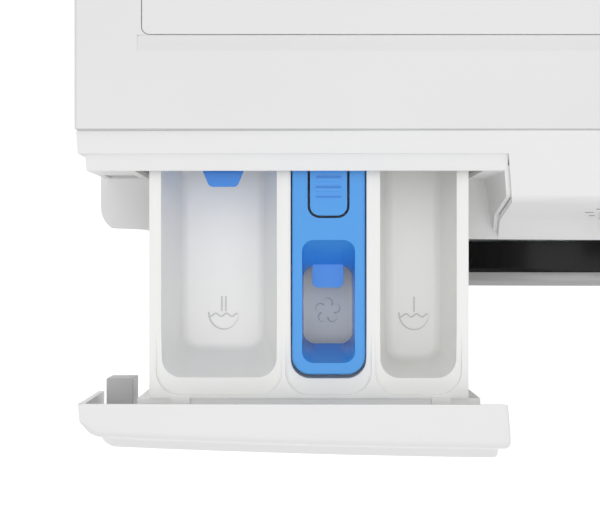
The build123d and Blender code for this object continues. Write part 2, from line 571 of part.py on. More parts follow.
def make_base_pan():
    """The base tray with a boss for each foot and a saddle for the pump."""
    half, front, back = HALF - SHEET - GAP, PAN_FRONT, BODY_DEPTH - 6
    inner = half - 1.5 * PAN_WALL
    floor, above = FOOT_CLEARANCE + PAN_WALL, PAN_TOP + 4
    pan = block(-half, half, front, back, FOOT_CLEARANCE, PAN_TOP)
    pan -= block(-inner, inner, front + PAN_WALL, back - PAN_WALL, floor, above)
    pan -= block(HATCH_LEFT - 4, HATCH_RIGHT + 4, front - 4, front + 6, floor, above)
    for x, y in feet():
        pan += rod_z(14, FOOT_CLEARANCE, PAN_TOP - 8, x, y)
    for x, y in feet():
        pan -= rod_z(STEM_R + 0.2, FOOT_CLEARANCE - 1, PAN_TOP + 4, x, y)
    saddle = block(PUMP_X - 26, PUMP_X + 26, PUMP_FRONT + 30, PUMP_FRONT + 70,
                   FOOT_CLEARANCE + 2, PUMP_Z - PUMP_R + 8)
    return pan + (saddle - rod_y(PUMP_R, PUMP_FRONT + 20, PUMP_FRONT + 80, PUMP_X, PUMP_Z))


def feet():
    """Plan places of the four feet."""
    return [(x, y) for x in (-FOOT_X, FOOT_X) for y in (FOOT_FRONT, FOOT_BACK)]


def make_feet():
    """Four levelling feet: a coned pad on a stem."""
    made = []
    for x, y in feet():
        pad = Pos(x, y, FOOT_HEIGHT / 2) * Cone(FOOT_R, FOOT_R - 6, FOOT_HEIGHT)
        made.append(pad + rod_z(STEM_R, FOOT_HEIGHT - 1, PAN_TOP - 6, x, y))
    return Compound(made)


def make_lock_nuts():
    """The hexagon lock nut under the base on each foot's stem."""
    nut = extrude(RegularPolygon(10, 6), 7) - Pos(0, 0, 3) * Cylinder(STEM_R, 20)
    return Compound([Pos(x, y, FOOT_CLEARANCE - 7.2) * nut for x, y in feet()])


def funnel(left, right, front, back, top, bottom, slopes, r):
    """A rounded plan that draws in on its way down, by the slopes of its sides, front and back."""
    side, near, far = slopes
    plans = []
    for z, share in ((top, 0), (bottom, 1)):
        width = right - left - 2 * share * side
        y0, y1 = front + share * near, back - share * far
        plans.append(Pos((left + right) / 2, (y0 + y1) / 2, z) * RectangleRounded(width, y1 - y0, r))
    return loft(plans)


def pocket(left, right, drop, side_slope, front_slope, grow):
    """One compartment of the tray, drawn as the solid that fills it, or its outside."""
    top = RIM_Z + (0 if grow else 0.01)
    solid = funnel(left - grow, right + grow, POCKET_FRONT - grow, POCKET_BACK + grow,
                   top, RIM_Z - drop - grow, (side_slope, front_slope, POCKET_BACK_SLOPE), POCKET_R + grow)
    return fillet(solid.faces().sort_by(Axis.Z)[0].edges(), POCKET_FLOOR_R + grow)


POCKETS = ((MAIN_LEFT, MAIN_RIGHT, MAIN_DROP, MAIN_SLOPE, MAIN_FRONT_SLOPE),
           (SOFT_LEFT, SOFT_RIGHT, SOFT_DROP, SOFT_SLOPE, SOFT_FRONT_SLOPE),
           (PRE_LEFT, PRE_RIGHT, PRE_DROP, PRE_SLOPE, PRE_FRONT_SLOPE))


def scoop(left, right):
    """The shallow ramp round a compartment's front end, which leaves a thin ridge on each divider."""
    back = SCOOP_FRONT + SCOOP_LENGTH
    ramp = make_face(Polyline((back, RIM_Z), (SCOOP_FRONT, RIM_Z - SCOOP_DEPTH), (SCOOP_FRONT, RIM_Z + 1),
                              (back, RIM_Z + 1), close=True))
    x0, x1 = left - SCOOP_SIDE, right + SCOOP_SIDE
    wedge = Pos(x0, 0, 0) * extrude(Plane.YZ * ramp, x1 - x0)
    length = SCOOP_LENGTH + 2 * SCOOP_R
    outline = Pos((x0 + x1) / 2, SCOOP_FRONT + length / 2, RIM_Z - SCOOP_DEPTH - 1) * RectangleRounded(
        x1 - x0, length, SCOOP_R)
    return wedge & extrude(outline, SCOOP_DEPTH + 3)


def make_tray():
    """The three-compartment tray: a rim plate with three sloping cups, a front flange and clips."""
    back = TRAY_FRONT + TRAY_LENGTH
    rim = block(TRAY_LEFT, TRAY_RIGHT, TRAY_FRONT, back, RIM_Z - RIM_THICKNESS, RIM_Z)
    tray = fillet([e for e in rim.edges().filter_by(Axis.Z) if e.center().Y > back - 1], 5)
    tray += block(TRAY_LEFT + RAIL_REACH, TRAY_RIGHT - RAIL_REACH, TRAY_FRONT, SCOOP_FRONT + SCOOP_LENGTH,
                  RIM_Z - RIM_THICKNESS - SCOOP_DEPTH, RIM_Z)
    for shape in POCKETS:
        tray += pocket(*shape, TRAY_WALL)
    flange_front = TRAY_FRONT - TRAY_FLANGE
    tray += block(TRAY_LEFT - FLANGE_EAR, TRAY_RIGHT + FLANGE_EAR, flange_front, TRAY_FRONT,
                  HEIGHT - FRONT_BOTTOM_DEPTH + 6, RIM_Z - 1.2)
    for x in (TRAY_LEFT + 16, TRAY_RIGHT - 14):
        tray += block(x - 5, x + 5, flange_front, TRAY_FRONT + 1.2, RIM_Z - 3, RIM_Z + 0.8)
    for shape in POCKETS:
        tray -= scoop(*shape[:2])
        tray -= pocket(*shape, 0)
    floor = RIM_Z - SOFT_DROP
    tray += rod_z(SPOUT_R, floor - 1, floor + SPOUT_HEIGHT, SOFT_MIDDLE, SPOUT_Y)
    tray -= rod_z(SPOUT_BORE, floor - 8, floor + SPOUT_HEIGHT + 8, SOFT_MIDDLE, SPOUT_Y)
    for wall, inward in ((MAIN_LEFT, 1), (MAIN_RIGHT, -1)):
        tray += block(wall, wall + inward * 2.2, FLAP_Y - 5, FLAP_Y + 5, FLAP_PIN_Z - 5, FLAP_PIN_Z + 5)
    return tray - rod_x(FLAP_PIN_R + PIN_CLEARANCE, MAIN_LEFT - 0.5, MAIN_RIGHT + 0.5, FLAP_Y, FLAP_PIN_Z)


def rod_x(r, x0, x1, y, z):
    """A round bar along X."""
    return Pos((x0 + x1) / 2, y, z) * Rot(0, 90, 0) * Cylinder(r, x1 - x0)


def cap_plan(inset):
    """Plan of the softener insert inside its compartment's rim."""
    left, right = SOFT_LEFT + CAP_CLEARANCE + inset, SOFT_RIGHT - CAP_CLEARANCE - inset
    front, back = POCKET_FRONT + CAP_FRONT_GAP + inset, CAP_BACK - inset
    return Pos((left + right) / 2, (front + back) / 2) * RectangleRounded(
        right - left, back - front, CAP_FRONT_R - inset)


def well(grow, above, below):
    """The funnel-shaped well of the insert, run on above and below the insert."""
    shares = (-above / WELL_DROP, 1 + below / WELL_DROP)
    slopes = (WELL_SLOPE_SIDE, WELL_SLOPE_FRONT, WELL_SLOPE_BACK)
    side, near, far = (shares[0] * slope for slope in slopes)
    run = [(shares[1] - shares[0]) * slope for slope in slopes]
    half = WELL_WIDTH / 2 + grow - side
    return funnel(SOFT_MIDDLE - half, SOFT_MIDDLE + half, WELL_FRONT - grow + near, WELL_BACK + grow - far,
                  CAP_TOP + above, CAP_TOP - WELL_DROP - below, run, WELL_R + grow)


def make_cap():
    """The blue softener insert: a domed lid with a funnel well, a tongue and the release slot."""
    lid = extrude(Pos(0, 0, CAP_TOP - CAP_SKIRT) * cap_plan(0), CAP_SKIRT)
    lid = fillet(lid.faces().sort_by(Axis.Z)[-1].edges(), 1.0)
    lid -= extrude(Pos(0, 0, CAP_TOP - CAP_SKIRT - 1) * cap_plan(CAP_WALL), CAP_SKIRT + 1 - CAP_WALL)
    lid += well(CAP_WALL * 0.8, -CAP_WALL / 2, 0)
    lid -= well(0, 2, 2)
    low = CAP_TOP - WELL_DROP
    start = WELL_BACK - WELL_SLOPE_BACK
    half = TONGUE_WIDTH / 2
    tongue = block(SOFT_MIDDLE - half, SOFT_MIDDLE + half, start - TONGUE_LENGTH, start + 1,
                   low, low + TONGUE_THICKNESS)
    lid += fillet([e for e in tongue.edges().filter_by(Axis.Z) if e.center().Y < start - 1], TONGUE_R)
    slot = block(TAB_LEFT - TAB_SLOT, TAB_RIGHT + TAB_SLOT, TAB_FRONT - TAB_SLOT, TAB_BACK + TAB_SLOT,
                 CAP_TOP - CAP_SKIRT - 2, CAP_TOP + 1)
    lid -= fillet([e for e in slot.edges().filter_by(Axis.Z) if e.center().Y < TAB_BACK], TAB_R + TAB_SLOT)
    floor = RIM_Z - SOFT_DROP
    lid += rod_z(SPOUT_R + 3.2, floor + 4, CAP_TOP - CAP_WALL + 0.2, SOFT_MIDDLE, SPOUT_Y)
    lid -= rod_z(SPOUT_R + 1.6, floor, CAP_TOP - CAP_WALL - 0.4, SOFT_MIDDLE, SPOUT_Y)
    for x in (TAB_LEFT - TAB_SLOT - 2, TAB_RIGHT + TAB_SLOT):
        lid += block(x, x + 2, TAB_PIVOT_Y - 4, TAB_PIVOT_Y + 4, TAB_PIVOT_Z - 3.5, CAP_TOP - 1)
    return lid - rod_x(TAB_PIN_R + PIN_CLEARANCE, TAB_LEFT - 5, TAB_RIGHT + 5, TAB_PIVOT_Y, TAB_PIVOT_Z)


def make_release_tab():
    """The ribbed tab that is pressed to lift the drawer off its stop."""
    plate = block(TAB_LEFT, TAB_RIGHT, TAB_FRONT, TAB_BACK, CAP_TOP - TAB_THICKNESS, CAP_TOP)
    plate = fillet([e for e in plate.edges().filter_by(Axis.Z) if e.center().Y < TAB_BACK - 1], TAB_R)
    first = TAB_FRONT + TAB_RIB_START
    for i in range(int((TAB_PIVOT_Y - 16 - first) / TAB_RIB_PITCH) + 1):
        y = first + i * TAB_RIB_PITCH
        plate += block(TAB_LEFT + 3, TAB_RIGHT - 3, y, y + TAB_RIB_WIDTH,
                       CAP_TOP - 1, CAP_TOP + TAB_RIB_PROUD)
    heel = block(TAB_LEFT + 2, TAB_RIGHT - 2, TAB_PIVOT_Y - 2.4, TAB_PIVOT_Y + 2.4,
                 TAB_PIVOT_Z - 2.4, CAP_TOP - 1)
    return plate + heel + rod_x(TAB_PIN_R, TAB_LEFT - 3, TAB_RIGHT + 3, TAB_PIVOT_Y, TAB_PIVOT_Z)


def make_flap():
    """The liquid flap that hangs across the main compartment, with its finger tab."""
    top = RIM_Z - 1.0
    left, right = MAIN_LEFT + FLAP_SIDE_GAP, MAIN_RIGHT - FLAP_SIDE_GAP
    front = FLAP_Y - FLAP_THICKNESS / 2
    low = FLAP_DROP * MAIN_SLOPE / MAIN_DROP
    outline = Polyline((left, top), (right, top), (right - low, top - FLAP_DROP),
                       (left + low, top - FLAP_DROP), close=True)
    plate = extrude(Plane.XZ.offset(-front - FLAP_THICKNESS) * make_face(outline), FLAP_THICKNESS)
    middle = (left + right) / 2 + FLAP_TAB_SHIFT
    back_half, front_half = FLAP_TAB_BACK_WIDTH / 2, FLAP_TAB_FRONT_WIDTH / 2
    tip = front - FLAP_TAB_LENGTH
    tab = make_face(Polyline((middle - back_half, front + 0.5), (middle + back_half, front + 0.5),
                             (middle + front_half, tip), (middle - front_half, tip), close=True))
    tab = fillet(tab.vertices().sort_by(Axis.Y)[:2], 3)
    plate += extrude(Pos(0, 0, top - FLAP_THICKNESS) * tab, FLAP_THICKNESS)
    return plate + rod_x(FLAP_PIN_R, MAIN_LEFT + 0.3, MAIN_RIGHT - 0.3, FLAP_Y, FLAP_PIN_Z)


def make_drawer_front():
    """The drawer's front: a moulded cap that carries on the fascia's section, with ribs to the tray."""
    low = HEIGHT - FRONT_BOTTOM_DEPTH
    right = NICHE_RIGHT + REBATE_WIDTH - 0.6
    back = LEDGE_BACK - 0.4
    zone = flared_block(-HALF - 1, right, LIP_SETBACK - 9, back, low, HEIGHT + 1)
    front = (OUTER - SKIN) & zone
    floor_back = LEDGE_FRONT - 8
    front += OUTER & block(-HALF + 8, NICHE_RIGHT - 0.6, LIP_SETBACK - 9, floor_back, low, low + DRAWER_SKIN)
    end = block(NICHE_RIGHT - 0.6 - DRAWER_SKIN, NICHE_RIGHT - 0.6, LIP_SETBACK - 9, LEDGE_FRONT - 1,
                low, HEIGHT)
    front += OUTER & end
    contact = TRAY_FRONT - TRAY_FLANGE + DRAWER_OPEN
    for x in (TRAY_LEFT + 20, (TRAY_LEFT + TRAY_RIGHT) / 2, TRAY_RIGHT - 20):
        rib = block(x - 1.2, x + 1.2, LIP_SETBACK - 9, contact, low + 6, RIM_Z - 6)
        front += OUTER & rib
    return Pos(0, -DRAWER_OPEN, 0) * front


def make_guide():
    """The grey guide tongue fixed behind the drawer front's left end."""
    box = guide_box(0) & SKIN
    return Pos(0, -DRAWER_OPEN, 0) * box


def make_housing():
    """The dispenser housing: a box open at the front and top, with a rail under each side of the rim."""
    y0 = LEDGE_FRONT + FASCIA_WALL + GAP
    left, right = TRAY_LEFT - HOUSING_SLACK, TRAY_RIGHT + HOUSING_SLACK
    low = HEIGHT - HOUSING_BOTTOM_DEPTH
    top = COVER_Z
    t = HOUSING_WALL
    ear_left, ear_right = left - FLANGE_EAR, right + FLANGE_EAR
    box = block(ear_left - t, ear_right + t, y0, y0 + MOUTH_LENGTH + t, low - 2, top + 1.2)
    box += block(left - t, right + t, y0, HOUSING_BACK, low - t, top)
    box -= block(ear_left, ear_right, y0 - 1, y0 + MOUTH_LENGTH, low, top + 9)
    box -= block(left, right, y0 - 1, HOUSING_BACK - t, low, top + 9)
    rail_top = RIM_Z - RIM_THICKNESS - GAP
    y1 = y0 + MOUTH_LENGTH
    reach = HOUSING_SLACK + RAIL_REACH - 0.4
    for x0, x1 in ((left - 0.5, left + reach), (right - reach, right + 0.5)):
        box += block(x0, x1, y1, HOUSING_BACK - t, rail_top - 3, rail_top)
    box += rod_z(DROP_HOSE_R, low - 22, low - 1, HOSE_X, HOSE_Y)
    return box - rod_z(DROP_HOSE_BORE, low - 30, low + 5, HOSE_X, HOSE_Y)


def make_cover():
    """The dispenser's lid, with jet holes over each compartment and an inlet stub."""
    y0 = LEDGE_BACK + 12
    top = COVER_Z
    lid = block(TRAY_LEFT - 2.5, TRAY_RIGHT + 2.5, y0, HOUSING_BACK, top, top + COVER_THICKNESS)
    for left, right, *_ in POCKETS:
        for i in range(4):
            lid -= rod_z(2.0, top - 1, top + 9, (left + right) / 2, HOUSING_BACK - 40 - 18 * i)
    stub = rod_y(HOSE_R, HOUSING_BACK - 1, HOUSING_BACK + 16, STUB_X, STUB_Z)
    lid += stub + block(STUB_X - 8, STUB_X + 8, HOUSING_BACK - 12, HOUSING_BACK,
                        STUB_Z - HOSE_R, top + COVER_THICKNESS)
    return lid - block(TRAY_LEFT - 4, TRAY_RIGHT + 4, HOUSING_BACK - 13, HOUSING_BACK + 0.01, 0, top)


def tube(points, radii, r, bore=0.0):
    """A hose along straight runs joined by tangent arcs."""
    path = FilletPolyline(*points, radius=radii)
    start = Plane(origin=path @ 0, z_dir=path % 0)
    outer = sweep(start * Circle(r), path)
    return outer - sweep(start * Circle(bore), path) if bore else outer


def make_inlet_hose():
    """The rubber hose from the valve to the dispenser's lid."""
    y0 = HOUSING_BACK + 16
    y1 = BODY_DEPTH - VALVE_LENGTH - VALVE_NECK
    points = [(STUB_X, y0, STUB_Z), (STUB_X, y0 + 50, STUB_Z), (INLET_X, y1 - 90, INLET_Z + 34),
              (INLET_X, y1 - 50, INLET_Z), (INLET_X, y1, INLET_Z)]
    return tube(points, 16, HOSE_R)


def make_valve():
    """The water inlet valve: body, coil, collar and the threaded spigot through the back."""
    front, back = BODY_DEPTH - VALVE_LENGTH, BODY_DEPTH + INLET_REACH
    body = block(INLET_X - VALVE_HALF - 2, INLET_X + VALVE_HALF + 2, front, BODY_DEPTH - SHEET - GAP,
                 INLET_Z - VALVE_HALF, INLET_Z + VALVE_HALF)
    body += rod_y(HOSE_R, front - VALVE_NECK, front + 1, INLET_X, INLET_Z)
    body += rod_z(14, INLET_Z - 52, INLET_Z - VALVE_HALF + 1, INLET_X, front + 17)
    body += rod_y(INLET_COLLAR_R, BODY_DEPTH - 4, BODY_DEPTH + INLET_COLLAR, INLET_X, INLET_Z)
    body += rod_y(INLET_R, BODY_DEPTH - 4, back, INLET_X, INLET_Z)
    return body - rod_y(INLET_R - 5.2, front + 25, back + 1, INLET_X, INLET_Z)


def make_dispenser_hose():
    """The drop hose from the dispenser to the tub."""
    low = HEIGHT - HOUSING_BOTTOM_DEPTH - 22
    hose = rod_z(DROP_HOSE_R, DOOR_Z, low, HOSE_X, HOSE_Y)
    hose -= rod_z(DROP_HOSE_BORE, DOOR_Z - 1, low + 1, HOSE_X, HOSE_Y)
    return hose - rod_y(TUB_R, 0, BODY_DEPTH)


def lug(x, half, y0, y1, z0, z1):
    """A lug on the tub, stopped at the tub's outside."""
    return block(x - half, x + half, y0, y1, z0, z1) - rod_y(TUB_R - TUB_WALL / 2, y0 - 1, y1 + 1)


def make_tub_front():
    """The front half of the tub, with the neck for the bellows and the damper lugs."""
    inner = TUB_R - TUB_WALL
    shell = rod_y(TUB_R, TUB_FRONT, TUB_SPLIT) - rod_y(inner, TUB_FRONT + TUB_WALL, TUB_SPLIT + 1)
    shell += ring_y(TUB_R + TUB_FLANGE, TUB_R - 1, TUB_SPLIT - TUB_FLANGE_HALF, TUB_SPLIT)
    shell += ring_y(TUB_NECK_R, TUB_NECK_R - TUB_WALL, TUB_NECK_FRONT, TUB_FRONT + 1)
    shell -= rod_y(TUB_NECK_R - TUB_WALL, 0, TUB_FRONT + 20)
    for side in (-1, 1):
        shell += lug(side * DAMPER_X, LUG_HALF, DAMPER_Y - LUG_HALF, DAMPER_Y + LUG_HALF,
                     DAMPER_TOP, DOOR_Z - 140)
    return shell


def make_tub_rear():
    """The rear half of the tub: bearing hub, spring lugs and the motor's lug plate."""
    inner = TUB_R - TUB_WALL
    shell = rod_y(TUB_R, TUB_SPLIT, TUB_BACK) - rod_y(inner, TUB_SPLIT - 1, TUB_BACK - TUB_WALL)
    shell += ring_y(TUB_R + TUB_FLANGE, TUB_R - 1, TUB_SPLIT, TUB_SPLIT + TUB_FLANGE_HALF)
    shell += rod_y(HUB_R, TUB_BACK - 1, HUB_BACK)
    for i in range(8):
        rib = block(HUB_R - 4, inner, TUB_BACK - 1, TUB_BACK + 14, -3, 3)
        shell += Pos(0, 0, DOOR_Z) * Rot(0, 45 * i + 22.5, 0) * rib
    for side in (-1, 1):
        shell += lug(side * SPRING_X, LUG_HALF, SPRING_Y - LUG_HALF, SPRING_Y + LUG_HALF,
                     DOOR_Z + 100, SPRING_LOW)
    shell += lug(MOTOR_X, MOTOR_R - 4, MOTOR_LUG_Y - MOTOR_LUG_THICKNESS, MOTOR_LUG_Y,
                 MOTOR_Z - 20, DOOR_Z - 100)
    shell -= rod_y(SHAFT_R + 3, TUB_BACK - 10, HUB_BACK + 10)
    for y0, y1, r in BEARINGS:
        shell -= rod_y(r, y0, y1)
    return shell - rod_y(BEARINGS[1][2], BEARINGS[1][0], HUB_BACK + 5)


def make_bearings():
    """The two drum bearings, each an outer race, a row of balls' space and an inner race."""
    made = []
    for y0, y1, r in BEARINGS:
        made.append(ring_y(r, SHAFT_R + PIN_CLEARANCE, y0, y1))
    return Compound(made)


def make_gasket():
    """The rubber door bellows between the front's flange and the tub's neck."""
    outer, crest, fold = OPENING_R - SHEET - GAP, OPENING_R - 5, OPENING_R - 13
    inner, seat = OPENING_R - 16.5, TUB_NECK_R + 2.0
    y = TUB_NECK_FRONT
    line = Polyline((outer, 5), (inner, 6), (inner + 1, 20), (crest, 34), (fold, y - 28), (crest + 3, y - 14),
                    (seat, y - 6), (seat, TUB_FRONT - 4))
    section = trace(line, 3.2)
    solid = revolve(section, Axis.Y, 360)
    return Pos(0, 0, DOOR_Z) * solid


def make_top_weight():
    """The concrete counterweight on top of the tub."""
    weight = block(WEIGHT_LEFT, WEIGHT_RIGHT, TUB_FRONT + 40, TUB_SPLIT - 12, DOOR_Z + 120, WEIGHT_TOP)
    weight = fillet([e for e in weight.edges().filter_by(Axis.Y) if e.center().Z > WEIGHT_TOP - 1], WEIGHT_R)
    return weight - rod_y(TUB_R + GAP, 0, BODY_DEPTH)


def make_front_weight():
    """The front counterweight, a half ring below the door neck."""
    outer, inner = TUB_R - 6, TUB_NECK_R + 12
    ring = ring_y(outer, inner, TUB_FRONT - FRONT_WEIGHT_THICKNESS, TUB_FRONT)
    return ring & block(-HALF, HALF, 0, TUB_SPLIT, 0, FRONT_WEIGHT_TOP)


def make_springs():
    """The two tub springs, close wound, each with a hook from the brace and a hook to the tub."""
    made = []
    for x in (-SPRING_X, SPRING_X):
        low, high = SPRING_LOW + SPRING_HOOK, BRACE_Z0 - SPRING_HOOK
        coil = rod_z(SPRING_R, low, high, x, SPRING_Y)
        coil -= rod_z(SPRING_R - SPRING_WIRE, low + 2, high - 2, x, SPRING_Y)
        hooks = rod_z(SPRING_WIRE / 2, SPRING_LOW, low + 1, x, SPRING_Y)
        hooks += rod_z(SPRING_WIRE / 2, high - 1, BRACE_Z0, x, SPRING_Y)
        made.append(coil + hooks)
    return Compound(made)


def make_damper_cylinders():
    """The lower halves of the two dampers, standing in the base."""
    made = []
    for side in (-1, 1):
        body = rod_z(DAMPER_R, FOOT_CLEARANCE + PAN_WALL, DAMPER_SPLIT, side * DAMPER_X, DAMPER_Y)
        bore = rod_z(DAMPER_ROD_R + 0.2, FOOT_CLEARANCE + 20, DAMPER_SPLIT + 1, side * DAMPER_X, DAMPER_Y)
        made.append(body - bore)
    return Compound(made)


def make_damper_rods():
    """The damper rods, from inside each cylinder up to the tub's lug."""
    return Compound([rod_z(DAMPER_ROD_R, FOOT_CLEARANCE + 28, DAMPER_TOP, side * DAMPER_X, DAMPER_Y)
                     for side in (-1, 1)])


def make_brace():
    """The steel channel across the cabinet that the tub hangs from."""
    half = HALF - SHEET
    inside = BRACE_HALF - BRACE_SHEET
    channel = block(-half, half, SPRING_Y - BRACE_HALF, SPRING_Y + BRACE_HALF, BRACE_Z0, BRACE_Z1)
    return channel - block(-half - 1, half + 1, SPRING_Y - inside, SPRING_Y + inside,
                           BRACE_Z0 + BRACE_SHEET, BRACE_Z1 + 1)


def make_motor():
    """The drive motor, bolted to the tub's lug plate, with cooling slots in its shell."""
    body = rod_y(MOTOR_R, MOTOR_LUG_Y, MOTOR_LUG_Y + MOTOR_LENGTH, MOTOR_X, MOTOR_Z)
    for i in range(12):
        slot = block(MOTOR_R - 5, MOTOR_R + 2, MOTOR_LUG_Y + 12, MOTOR_LUG_Y + MOTOR_LENGTH - 12, -4, 4)
        body -= Pos(MOTOR_X, 0, MOTOR_Z) * Rot(0, 30 * i, 0) * slot
    return body - rod_y(MOTOR_SHAFT_R + PIN_CLEARANCE, MOTOR_LUG_Y + 30, PULLEY_Y, MOTOR_X, MOTOR_Z)


def make_motor_pulley():
    """The motor's shaft and its small pulley."""
    shaft = rod_y(MOTOR_SHAFT_R, MOTOR_LUG_Y + 40, PULLEY_Y + PULLEY_WIDTH, MOTOR_X, MOTOR_Z)
    return shaft + rod_y(MOTOR_PULLEY_R, PULLEY_Y, PULLEY_Y + PULLEY_WIDTH, MOTOR_X, MOTOR_Z)


def make_belt():
    """The flat belt round both pulleys."""
    def loop(extra):
        large = CenterArc((0, DOOR_Z), DRUM_PULLEY_R + extra, 0, 360)
        small = CenterArc((MOTOR_X, MOTOR_Z), MOTOR_PULLEY_R + extra, 0, 360)
        return make_hull([large.edge(), small.edge()])
    section = loop(GAP + BELT_THICKNESS) - loop(GAP)
    belt_back = PULLEY_Y + (PULLEY_WIDTH + BELT_WIDTH) / 2
    return extrude(Plane.XZ.offset(-belt_back) * section, BELT_WIDTH)


def make_drum():
    """The drum: a rolled cylinder with a mouth lip at the front and a flat back."""
    shell = ring_y(DRUM_R, DRUM_R - DRUM_WALL, DRUM_FRONT, DRUM_BACK)
    shell += ring_y(DRUM_R, DRUM_MOUTH_R, DRUM_FRONT, DRUM_FRONT + DRUM_WALL)
    shell += ring_y(DRUM_MOUTH_R + 6, DRUM_MOUTH_R, DRUM_FRONT, DRUM_FRONT + 5)
    return shell + rod_y(DRUM_R, DRUM_BACK - DRUM_WALL, DRUM_BACK)


def make_lifters():
    """The three lifter ribs inside the drum."""
    made = []
    inner = rod_y(DRUM_R - DRUM_WALL, DRUM_FRONT, DRUM_BACK)
    for i in range(3):
        base, crest, top = LIFTER_BASE / 2, LIFTER_CREST / 2, LIFTER_HEIGHT - DRUM_R
        section = make_face(Polyline((-base, -DRUM_R), (base, -DRUM_R), (crest, top), (-crest, top),
                                     close=True))
        section = fillet(section.vertices().sort_by(Axis.Y)[-2:], LIFTER_R)
        length = DRUM_BACK - DRUM_FRONT - 2.5 * LIFTER_MARGIN
        rib = extrude(Plane.XZ.offset(LIFTER_MARGIN - DRUM_BACK) * section, length)
        made.append((Pos(0, 0, DOOR_Z) * Rot(0, 120 * i, 0) * rib) & inner)
    return Compound(made)


def make_spider():
    """The three-arm spider behind the drum and the drum's shaft."""
    spider = rod_y(52, DRUM_BACK, DRUM_BACK + SPIDER_THICKNESS)
    for i in range(3):
        arm = make_face(Polyline((-26, 30), (26, 30), (16, DRUM_R - 12), (-16, DRUM_R - 12), close=True))
        solid = extrude(Plane.XZ.offset(-DRUM_BACK - SPIDER_THICKNESS) * arm, SPIDER_THICKNESS)
        spider += Pos(0, 0, DOOR_Z) * Rot(0, 60 + 120 * i, 0) * solid
    return spider + rod_y(SHAFT_R, DRUM_BACK + 1, PULLEY_Y + PULLEY_WIDTH + 6)


def make_drum_pulley():
    """The large drum pulley with six spokes."""
    y0, y1 = PULLEY_Y, PULLEY_Y + PULLEY_WIDTH
    wheel = ring_y(DRUM_PULLEY_R, DRUM_PULLEY_R - 9, y0, y1) + rod_y(30, y0, y1)
    for i in range(6):
        spoke = block(20, DRUM_PULLEY_R - 5, y0 + 3, y1 - 3, -7, 7)
        wheel += Pos(0, 0, DOOR_Z) * Rot(0, 60 * i, 0) * spoke
    return wheel - rod_y(SHAFT_R, y0 - 1, y1 + 1)


def make_heater():
    """The heating element: a bent tube in the tub's sump, through the tub's back wall."""
    z = DOOR_Z - DRUM_R - 10
    y1 = TUB_BACK - TUB_WALL
    points = [(-28, y1, z), (-28, y1 - 156, z), (28, y1 - 156, z), (28, y1, z)]
    return tube(points, 20, 3.6)


def make_pump():
    """The drain pump: a volute with its motor behind and the filter chamber in front."""
    body = rod_y(PUMP_R, PUMP_FRONT + 10, PUMP_FRONT + 80, PUMP_X, PUMP_Z)
    body += rod_y(PUMP_R - 10, PUMP_FRONT + 79, PUMP_FRONT + 140, PUMP_X, PUMP_Z)
    body += rod_y(FILTER_R + 6, PUMP_FRONT, PUMP_FRONT + 12, PUMP_X, PUMP_Z)
    return body - rod_y(FILTER_R + GAP, PUMP_FRONT - 1, PUMP_FRONT + 60, PUMP_X, PUMP_Z)


def make_filter_cap():
    """The drain filter: a screw cap with a grip bar and a slotted strainer."""
    cap = rod_y(FILTER_R, PUMP_FRONT - 6, PUMP_FRONT + 14, PUMP_X, PUMP_Z)
    cap += block(PUMP_X - 20, PUMP_X + 20, PUMP_FRONT - 16, PUMP_FRONT - 5, PUMP_Z - 4, PUMP_Z + 4)
    strainer = ring_y(FILTER_R - 4, FILTER_R - 8, PUMP_FRONT + 13, PUMP_FRONT + 54, PUMP_X, PUMP_Z)
    for i in range(3):
        strainer -= block(PUMP_X - 40, PUMP_X + 40, PUMP_FRONT + 18 + 12 * i, PUMP_FRONT + 24 + 12 * i,
                          PUMP_Z - 9, PUMP_Z + 9)
    return cap + strainer


def door_notch(grow):
    """The gap in the door's rings that the hinge knuckle turns in."""
    half = HINGE_HALF + grow
    return block(HINGE_X - 12, HINGE_X + 19, DOOR_FRONT - 5, 5, DOOR_Z - half, DOOR_Z + half)


def handle_pocket():
    """The recess in the door's right side that the handle lies in, open to the side for the fingers."""
    face = block(HANDLE_LEFT - 3, DOOR_R + 5, DOOR_FRONT - 5, RIM_BACK, DOOR_Z - HANDLE_HALF - 0.6,
                 DOOR_Z + HANDLE_HALF + 0.6)
    grip = HANDLE_HALF - 4
    return face + block(HANDLE_LEFT + 6, DOOR_R + 5, RIM_BACK - 1, -10, DOOR_Z - grip, DOOR_Z + grip)


def make_door_ring():
    """The door's black outer ring: a front wall and a deep outer band."""
    r = DOOR_R
    profile = [(DOOR_WINDOW_R, RIM_BACK), (r - 1, RIM_BACK), (r, RIM_BACK + 2), (r, DOOR_BACK),
               (r - 4, DOOR_BACK), (r - 4, RIM_BACK + 4), (DOOR_WINDOW_R, RIM_BACK + 4)]
    return turned_y(profile) - door_notch(4) - handle_pocket()


def make_door_rim():
    """The grey rim on the door's face, sloping in to the window."""
    r = DOOR_R
    profile = [(r, RIM_BACK), (r, DOOR_FRONT + 3), (r - 4, DOOR_FRONT), (r - 26, DOOR_FRONT),
               (DOOR_WINDOW_R + 4, RIM_BACK - 2), (DOOR_WINDOW_R + 4, RIM_BACK)]
    return turned_y(profile) - door_notch(4) - handle_pocket()


def make_door_inner():
    """The white inner frame that closes the back of the door."""
    r = DOOR_R - 5
    inner = OPENING_R - 13
    profile = [(inner, -9), (r, -9), (r, DOOR_BACK), (inner + 4, DOOR_BACK), (inner, -4)]
    slot = block(HOOK_X - 5, HOOK_X + 4, -20, 5, DOOR_Z - 6, DOOR_Z + 6)
    return turned_y(profile) - door_notch(4) - slot


